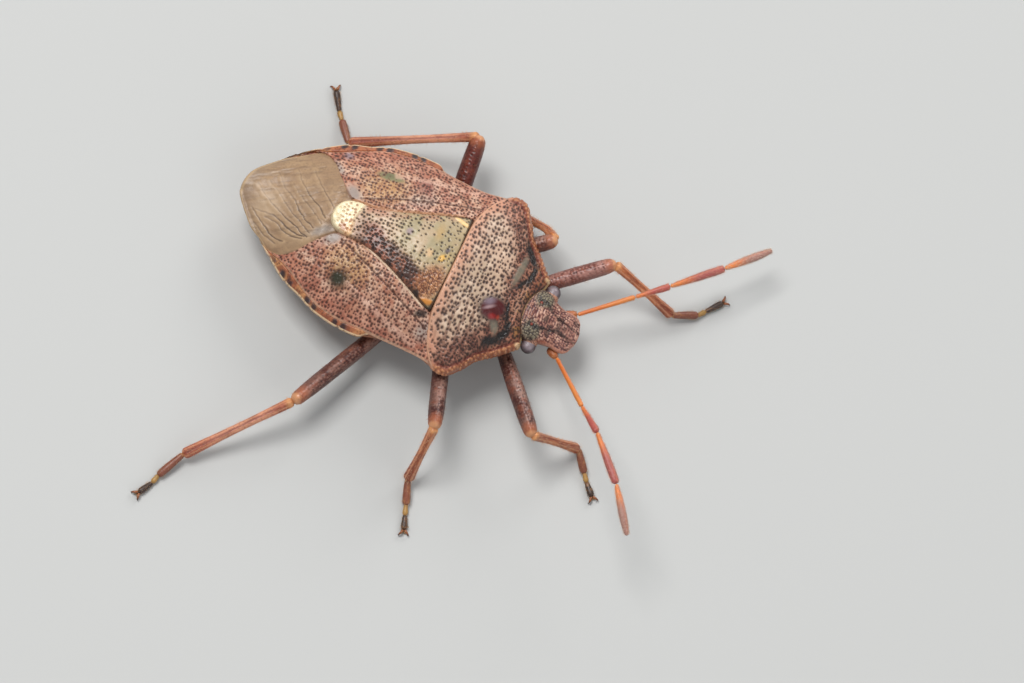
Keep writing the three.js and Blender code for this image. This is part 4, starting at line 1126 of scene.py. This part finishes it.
def build_head():
    """Head: rings of an oval, broad above and narrow below, from under the pronotum to the blunt tip.

    Two long grooves part the middle lobe from the side lobes, and a hollow on each side holds the eye.
    """
    rows, columns = 200, 280
    t = np.linspace(0, 1, rows)[:, None]
    s = HEAD_REAR + (HEAD_FRONT - HEAD_REAR) * (1 - (1 - t) ** 1.25)
    a = np.linspace(0, 2 * np.pi, columns, endpoint=False)[None, :]
    h, top, low = along(HEAD_TABLE, s, 1), along(HEAD_TABLE, s, 2), along(HEAD_TABLE, s, 3)
    level = top - 0.42 * (top - low)
    c, q = np.cos(a), np.sin(a)
    w = h * np.sign(c) * np.abs(c) ** 0.66 * np.where(q < 0, 1 - 0.45 * q * q, 1)
    rise = np.where(q > 0, np.abs(q) ** 0.8 * np.sign(q), q)
    z = level + rise * np.where(q > 0, top - level, level - low)
    s = np.broadcast_to(s, w.shape) + 0 * w

    upper = ramp(0.0, 0.25, q + 0 * w)
    noise = cloud(w, s, 0.35, 141)
    fine = cloud(w, s, 0.12, 143)
    grooves = np.zeros_like(w)
    for side in (1, -1):
        line = [(side * x, at) for x, at in ((0.36, 4.05), (0.24, 4.5), (0.2, 4.9), (0.18, 5.4))]
        grooves = np.maximum(grooves, stroke(w + 0.05 * (fine - 0.5), s, line, 0.03))
    brow = spot(np.abs(w), s, (0.62, 3.9), (0.24, 0.2), 0.5)
    behind_eye = spot(np.abs(w), s, (0.62, 3.66), (0.36, 0.26), 0.6)
    green = np.clip(brow + behind_eye, 0, 1) * upper
    grains = pits(w, s * 0.85, 0.078, 0.042, 145) * upper
    waves = (np.abs(w) * 1.6 + (s - 4.6) * 0.5) * 30 + 5 * fine
    wrinkle = (0.5 + 0.5 * np.sin(waves)) * ramp(4.5, 4.85, s) * upper
    tint = head_tint(w, s, h, q, upper, noise, fine, green, grains, wrinkle, grooves)

    z = z - 0.03 * grooves * upper + 0.024 * grains + 0.012 * wrinkle + 0.03 * (noise - 0.5) * upper
    z = z + 0.03 * brow * upper
    z = z + 0.035 * spot(w, s, (0, 4.75), (0.17, 0.6), 0.5) * upper
    to_eye = np.sqrt((np.abs(w) - EYE[0]) ** 2 + (s - EYE[1]) ** 2 + (z - EYE[2]) ** 2)
    w = w - np.sign(w) * np.clip(SOCKET_RADIUS - to_eye, 0, None) * 1.05
    nose = to_metres(w[-1] * 0.5, s[-1] + 0.03, z[-1] * 0.5 + z[-1].mean() * 0.5)
    points, faces = loop_points(capped(to_metres(w, s, z), nose, -0.00004))
    tints = np.concatenate([tint.reshape(-1, 3), tint[-1], tint[0, :1], tint[-1, :1]])
    parts = [(points, faces, tints, np.full(len(points), 0.45)), eye_socket(1), eye_socket(-1)]
    joined_piece("head_shell", parts, SHELL, ["head"])


build_head()


def build_eyes():
    """Compound eyes: balls with a fine raised net of facets, and two small simple eyes on the crown."""
    for side in (1, -1):
        name = "left" if side > 0 else "right"
        p, way, a, b = ball_rings((side * EYE[0], EYE[1], EYE[2]), (0.265, 0.265, 0.255), 90, 140)
        facet = pits(a * 0.26 * np.cos(b), b * 0.26, 0.022, 0.013, 151)
        tint = coats(flat(a.shape, "4c4044"), [
            ("7a6a6e", ramp(0.35, 0.75, cloud(a, b, 0.8, 153))),
            # painted shade: the lower part of each eye darker, with a darker net between the facets
            ("241b1c", 0.6 * ramp(0.1, -0.5, b) + 0.3 * (1 - facet)),
            # painted highlight: the top of each eye paler
            ("9c8c90", 0.5 * ramp(0.6, 1.2, b)),
            ("2f2326", 0.7 * ramp(0.35, 0.85, way[..., 0] * side) * ramp(1.2, 0.4, b)),
        ])
        p = p + way * (0.004 * facet)[..., None]
        points, faces, tints, gloss = ring_mesh(p, tint, np.full(a.shape, 0.6))
        mesh_piece(f"eye_{name}_facets", points, faces, tints, gloss, EYEBALL, [f"eye_{name}"])
    parts = []
    for side in (1, -1):
        p, _, a, _ = ball_rings((side * 0.42, 3.68, 2.86), (0.055, 0.055, 0.04), 16, 20)
        parts.append(ring_mesh(p, flat(a.shape, "7a2f1c"), np.full(a.shape, 1.0)))
    joined_piece("simple_eyes", parts, EYEBALL, [])


build_eyes()


# Limbs


def limb_rings(path, radius, rows, columns, section=None):
    """Rings carried along a smooth path: a radius at each share of the length, and a section shape round it.

    section(a, t) gives the share of the radius at angle a and length share t. Ends close in a half circle.
    Returns the rings, their outward directions, the length shares, the angles and the forward directions.
    """
    p = np.asarray(path, float)
    run = np.concatenate([[0], np.cumsum(np.linalg.norm(np.diff(p, axis=0), axis=1))])
    table = np.column_stack([run / run[-1], p])
    t = 0.5 - 0.5 * np.cos(np.linspace(0, np.pi, rows))
    t = 0.35 * t + 0.65 * np.linspace(0, 1, rows)
    if len(p) > 2:
        centre = np.stack([along(table, t, k) for k in (1, 2, 3)], -1)
    else:
        centre = p[0] + (p[1] - p[0]) * t[:, None]
    ahead = np.gradient(centre, axis=0)
    ahead /= np.linalg.norm(ahead, axis=1)[:, None]
    side = np.cross(ahead, [0.0, 0.0, 1.0])
    side /= np.linalg.norm(side, axis=1)[:, None]
    top = np.cross(side, ahead)
    r = radius(t)
    q = np.clip(1 - t * run[-1] / np.maximum(r, 1e-6), 0, 1)
    r = r * np.sqrt(np.clip(1 - q**2, 0, 1))
    q = np.clip(1 - (1 - t) * run[-1] / np.maximum(radius(t), 1e-6), 0, 1)
    r = r * np.sqrt(np.clip(1 - q**2, 0, 1))
    a = np.linspace(0, 2 * np.pi, columns, endpoint=False)[None, :]
    T = t[:, None] + 0 * a
    A = a + 0 * T
    shape = section(A, T) if section else np.ones_like(A)
    way = np.cos(A)[..., None] * top[:, None, :] + np.sin(A)[..., None] * side[:, None, :]
    ring = centre[:, None, :] + way * (r[:, None] * shape)[..., None]
    ring[0] = ring[0].mean(axis=0)
    ring[-1] = ring[-1].mean(axis=0)
    return ring, way, T, A, np.broadcast_to(ahead[:, None, :], way.shape)


rng = np.random.default_rng(20)
HAIR_LEAN = 0.8  # how far a hair leans forward, as a share of its length


def bristles(ring, way, ahead, count, length, thick, code):
    """Fine hairs on a limb: three-sided cones, rooted under the surface, and leaning forward."""
    rows, columns = ring.shape[:2]
    first, last = int(rows * 0.03), int(rows * 0.97)
    j = rng.integers(first, max(last, first + 1), count)
    i = rng.integers(0, columns, count)
    root = ring[j, i]
    out, on = way[j, i], ahead[j, i]
    size = length * (0.6 + 0.8 * rng.random(count))
    cross = np.cross(out, on)
    corners = [2 * np.pi * k / 3 for k in range(3)]
    bend = root + out * (size * 0.6)[:, None] + on * (size * HAIR_LEAN * 0.35)[:, None]
    points = [root - out * 0.01 + (on * math.cos(a) + cross * math.sin(a)) * thick for a in corners]
    points += [bend + (on * math.cos(a) + cross * math.sin(a)) * thick * 0.55 for a in corners]
    points.append(root + out * (size * 0.85)[:, None] + on * (size * HAIR_LEAN)[:, None])
    p = np.stack(points, 1).reshape(-1, 3)
    p[:, 2] = np.maximum(p[:, 2], 0.003)
    base = np.arange(count)[:, None] * 7
    quads = [base + np.array([[k, (k + 1) % 3, 3 + (k + 1) % 3, 3 + k]]) for k in range(3)]
    tris = [base + np.array([[3 + k, 3 + (k + 1) % 3, 6]]) for k in range(3)]
    tris.append(base + np.array([[2, 1, 0]]))
    metres = to_metres(p[:, 0], p[:, 1], p[:, 2])
    return metres, [np.concatenate(quads), np.concatenate(tris)], flat((len(p),), code), np.full(len(p), 0.5)


def stripe(angle, at, width):
    """Soft stripe along a limb: the bell curve of the angle's distance from the stripe's middle."""
    return np.exp(-((np.angle(np.exp(1j * (angle - at))) / width) ** 2))


def steps(values):
    """Radius along a limb, by a smooth run through evenly spaced values."""
    table = [[k / (len(values) - 1), x] for k, x in enumerate(values)]
    return lambda t: along(table, t)


FEELER_LOOK = {  # per segment: radii along it, colours of its base, tip and hairs, and how many hairs
    1: ([0.13, 0.15, 0.12], "8a4a2c", "a4602f", "c98a4a", 60),
    2: ([0.065, 0.075, 0.08, 0.09, 0.085], "c8641c", "cf7a34", "e6a860", 160),
    3: ([0.065, 0.08, 0.1, 0.12, 0.115], "cf7030", "a24a40", "e0a078", 260),
    4: ([0.06, 0.1, 0.13, 0.14, 0.13], "d9782c", "a0504a", "e4b090", 700),
    5: ([0.06, 0.115, 0.14, 0.13, 0.075], "dd7a30", "a07468", "e6ccb4", 800),
}


def build_feelers():
    """Feelers of five segments, each slim at its base and swollen beyond, with a coat of very short hairs."""
    for name, points in FEELERS.items():
        for k in range(1, 6):
            radii, base_code, tip_code, hair, count = FEELER_LOOK[k]
            ends = [np.array(points[k - 1]), np.array(points[k])]
            ring, way, t, angle, ahead = limb_rings(ends, steps(radii), 70, 28)
            noise = cloud(t * 9, angle, 0.9, 160 + k)
            tint = coats(flat(t.shape, base_code), [
                (tip_code, ramp(0.1, 0.55 if k > 2 else 0.9, t)),
                ("7a3428", 0.25 * ramp(0.5, 0.75, noise)),
                # painted highlight: a pale stripe along the upper side of each segment
                ("d98a6a", 0.35 * stripe(angle, 0.6, 0.3)),
                ("d98a4a", 0.7 * ramp(0.06, 0.02, t)),
            ])
            parts = [ring_mesh(ring, tint, np.full(t.shape, 0.4)),
                     bristles(ring, way, ahead, count, 0.05 if k < 4 else 0.06, 0.006, hair)]
            joined_piece(f"feeler_{name}_{k}", parts, FEELER, [f"antenna_{name}_{k}"])


build_feelers()


BEAK_JOINTS = [0.3, 0.56, 0.78]  # shares of the length where its segments meet


def beak_joint(t, at):
    """How near a share of the beak's length is to a joint, as a narrow bell curve."""
    return np.exp(-(((t - at) / 0.012) ** 2))


def build_beak():
    """Beak: four segments end to end under the head, the first stout, the last tapering to a point."""

    def radius(t):
        """Half thickness of the beak, narrowed at its joints."""
        wide = along([[0, 0.17], [0.3, 0.2], [0.6, 0.17], [0.85, 0.14], [1.0, 0.07]], t)
        return wide * (1 - 0.18 * sum(beak_joint(t, at) for at in BEAK_JOINTS))

    ring, way, t, angle, ahead = limb_rings(BEAK_PATH, radius, 160, 36)
    tint = coats(flat(t.shape, "6a3420"), [
        ("8f5a34", ramp(0.4, 0.7, cloud(t * 8, angle, 0.8, 171))),
        *[("c08a55", 0.6 * beak_joint(t, at)) for at in BEAK_JOINTS],
        ("1f130e", ramp(0.88, 1.0, t)),
    ])
    parts = [ring_mesh(ring, tint, np.full(t.shape, 0.6)),
             bristles(ring, way, ahead, 160, 0.08, 0.006, "c9a070")]
    joined_piece("beak_segments", parts, LIMB, ["beak"])


build_beak()


def between(a, b, t, lift=0.0):
    """Point at share t of the way from a to b, raised by a lift."""
    a, b = np.array(a, float), np.array(b, float)
    return a + (b - a) * t + np.array([0, 0, lift])


THIGH_LOOK = {  # ground colour, lighter mottle and the mottle's strength
    "hind_left": ("521a10", "7e3320", 0.35),
    "hind_right": ("4a2018", "9a6f60", 0.8),
    "front_left": ("6e3a30", "b58478", 0.9),
}
OTHER_THIGHS = ("47201a", "a07a6c", 0.8)
# Claw and pad beyond the foot's end, as onward, outward and height
CLAW = [(0.0, 0.03, 0.15), (0.1, 0.1, 0.18), (0.17, 0.16, 0.12), (0.18, 0.19, 0.03)]
PAD = [(0.0, 0.02, 0.09), (0.07, 0.05, 0.07), (0.13, 0.07, 0.05)]


def build_hip(name, coxa, toward, seed):
    """Hip: a stout bent peg from inside the thorax to the start of the thigh."""
    socket = coxa + np.array([-0.1 * np.sign(coxa[0]), 0.0, 0.5])
    path = [socket, between(socket, coxa, 0.6), coxa + toward * 0.15]
    ring, way, t, angle, ahead = limb_rings(path, steps([0.42, 0.42, 0.36, 0.26]), 60, 40)
    tint = over(flat(t.shape, "8a4a2c"), "a8703f", ramp(0.4, 0.7, cloud(t * 5, angle, 0.7, seed)))
    parts = [ring_mesh(ring, tint, np.full(t.shape, 0.6)),
             bristles(ring, way, ahead, 60, 0.08, 0.006, "c9a070")]
    joined_piece(f"hip_{name}", parts, LIMB, [f"coxa_{name}"])


def thigh_section(a, t):
    """Share of the thigh's radius at angle a: slightly flattened, three-ridged, and two-lobed at the knee."""
    return 1 - 0.08 * np.abs(np.sin(a)) + 0.03 * np.cos(3 * a) + 0.04 * np.cos(2 * a) * ramp(0.85, 0.97, t)


def build_thigh(name, coxa, knee, toward, seed):
    """Thigh: a spindle with pale granules and dark pits, paler at the knee."""
    start = coxa + toward * 0.1
    stout = 1.12 if name == "hind_left" else 1.0
    ring, way, t, angle, ahead = limb_rings(
        [start, between(start, knee, 0.5, 0.03), knee + toward * 0.06],
        lambda t: stout * steps([0.23, 0.27, 0.3, 0.315, 0.31, 0.3, 0.26])(t), 190, 72, thigh_section)
    x, y = t * np.linalg.norm(knee - start), angle * 0.3
    noise = cloud(x, y, 0.5, seed + 1)
    grains = pits(x * 0.8, y, 0.085, 0.04, seed + 2, 0.85)
    dark_pits = pits(x, y, 0.13, 0.04, seed + 3, 0.6)
    crown = stripe(angle, 0.25, 0.75)
    ground, light, share = THIGH_LOOK.get(name, OTHER_THIGHS)
    tint = coats(flat(t.shape, ground), [
        (light, share * (0.25 + 0.6 * crown) * ramp(0.35, 0.65, noise)),
        (light, share * 0.75 * grains * (0.25 + 0.75 * crown)),
        ("210c08", 0.75 * dark_pits * (0.3 + 0.7 * crown)),
        ("8a4a34", 0.4 * ramp(0.6, 0.75, cloud(x, y, 0.25, seed + 4))),
        ("a35c3c", 0.7 * ramp(0.86, 0.94, t + 0.05 * (noise - 0.5))),
        ("cf9468", 0.8 * ramp(0.95, 0.985, t + 0.04 * (noise - 0.5))),
        ("b0622f", 0.6 * ramp(0.1, 0.02, t)),
    ])
    ring = ring + way * (0.012 * grains * (0.3 + 0.7 * crown) - 0.014 * dark_pits)[..., None]
    parts = [ring_mesh(ring, tint, 0.8 - 0.4 * dark_pits),
             bristles(ring, way, ahead, 190, 0.09, 0.005, "b98d66")]
    joined_piece(f"thigh_{name}", parts, LIMB, [f"femur_{name}"])


def shin_section(a, t):
    """Share of the shin's radius at angle a: four flat ridges, with a groove along the top."""
    return 1 + 0.07 * np.cos(4 * a) - 0.22 * stripe(a, 0, 0.32) * ramp(0.08, 0.2, t)


def build_shin(name, knee, bend, ankle, seed):
    """Shin: slim, ridged and grooved, a little wider at the ankle, with the longest hairs."""
    middle = between(knee, ankle, 0.5, 0.05) if bend is None else bend
    ring, way, t, angle, ahead = limb_rings([knee, middle, ankle],
                                            steps([0.17, 0.155, 0.14, 0.14, 0.15, 0.17, 0.19]),
                                            190, 64, shin_section)
    x, y = t * np.linalg.norm(ankle - knee), angle * 0.16
    noise = cloud(x, y, 0.5, seed + 5)
    groove = stripe(angle, 0, 0.3) * ramp(0.08, 0.2, t)
    ridge = stripe(angle, 0.75, 0.2) + stripe(angle, -0.75, 0.2)
    if name.startswith("hind"):
        tint = over(flat(t.shape, "a3573c"), "cf8e70", 0.85 * spot(t, 0 * t, (0.45, 0), (0.28, 1), 0.6))
    else:
        tint = over(flat(t.shape, "b4683c"), "8a3f22", 0.8 * ramp(0.5, 0.95, t))
    tint = coats(tint, [
        ("7c3522", 0.55 * ramp(0.5, 0.7, noise)),
        ("d99c78", 0.55 * ridge),
        ("6e2c1e", 0.7 * groove),
        ("5a241a", 0.5 * pits(x, y, 0.1, 0.03, seed + 6, 0.6)),
        ("d99a62", 0.75 * ramp(0.09, 0.03, t)),
        ("7a3a20", 0.6 * ramp(0.03, 0.0, t)),
        ("c4824e", 0.6 * ramp(0.975, 0.995, t)),
    ])
    parts = [ring_mesh(ring, tint, np.full(t.shape, 0.7)),
             bristles(ring, way, ahead, 380, 0.1, 0.005, "d9ab84")]
    joined_piece(f"shin_{name}", parts, LIMB, [f"tibia_{name}"])


def build_foot(name, ankle, joints, tip, seed):
    """Foot: three segments end to end on the floor, then two curved claws, each with a soft pad beneath."""
    j1, j2 = joints
    parts = []
    for a, b, radii, code, hairs in (
            (between(j1, ankle, 1.03, 0.03), j1, [0.1, 0.125, 0.14, 0.13], "7a4430", 110),
            (between(j2, j1, 1.15), between(j1, j2, 1.1), [0.075, 0.08, 0.095, 0.09], "a07a40", 30),
            (j2, tip, [0.075, 0.095, 0.115, 0.115], "382720", 90)):
        ring, way, t, angle, ahead = limb_rings([a, b], steps(radii), 50, 28)
        ring[..., 2] = np.maximum(ring[..., 2], 0.004)
        tint = coats(flat(t.shape, code), [
            ("b07a4c", 0.4 * ramp(0.5, 0.8, cloud(t * 5, angle, 0.7, seed + 7))),
            ("c49a68", 0.5 * ramp(0.08, 0.02, t)),
        ])
        parts.append(ring_mesh(ring, tint, np.full(t.shape, 0.5)))
        parts.append(bristles(ring, way, ahead, hairs, 0.07, 0.005, "c9a070"))
    level = tip * np.array([1, 1, 0])
    onward = (tip - j2) * np.array([1, 1, 0])
    onward /= np.linalg.norm(onward)
    across = np.array([-onward[1], onward[0], 0])
    for side in (1, -1):
        claw, pad = ([level + onward * x + across * side * y + np.array([0, 0, z]) for x, y, z in table]
                     for table in (CLAW, PAD))
        ring, _, t, _, _ = limb_rings(claw, steps([0.05, 0.042, 0.03, 0.01]), 30, 14)
        tint = over(flat(t.shape, "8a5230"), "2a150c", ramp(0.3, 0.9, t))
        parts.append(ring_mesh(ring, tint, np.full(t.shape, 0.9)))
        ring, _, t, _, _ = limb_rings(pad, steps([0.03, 0.045, 0.035]), 20, 14)
        parts.append(ring_mesh(ring, flat(t.shape, "9a7a55"), np.full(t.shape, 0.4)))
    joined_piece(f"foot_{name}", parts, LIMB, [f"tarsus_{name}"])


def build_leg(name, leg):
    """One leg from the body outward: hip, thigh, shin and foot. Their hairs draw from rng in this order."""
    seed = 200 + 7 * list(LEGS).index(name)
    coxa, knee, ankle, tip = (np.array(leg[k], float) for k in ("coxa", "knee", "ankle", "tip"))
    toward = (knee - coxa) / np.linalg.norm(knee - coxa)
    build_hip(name, coxa, toward, seed)
    build_thigh(name, coxa, knee, toward, seed)
    build_shin(name, knee, leg.get("bend"), ankle, seed)
    build_foot(name, ankle, [np.array(j, float) for j in leg["joints"]], tip, seed)


for leg_name, leg in LEGS.items():
    build_leg(leg_name, leg)
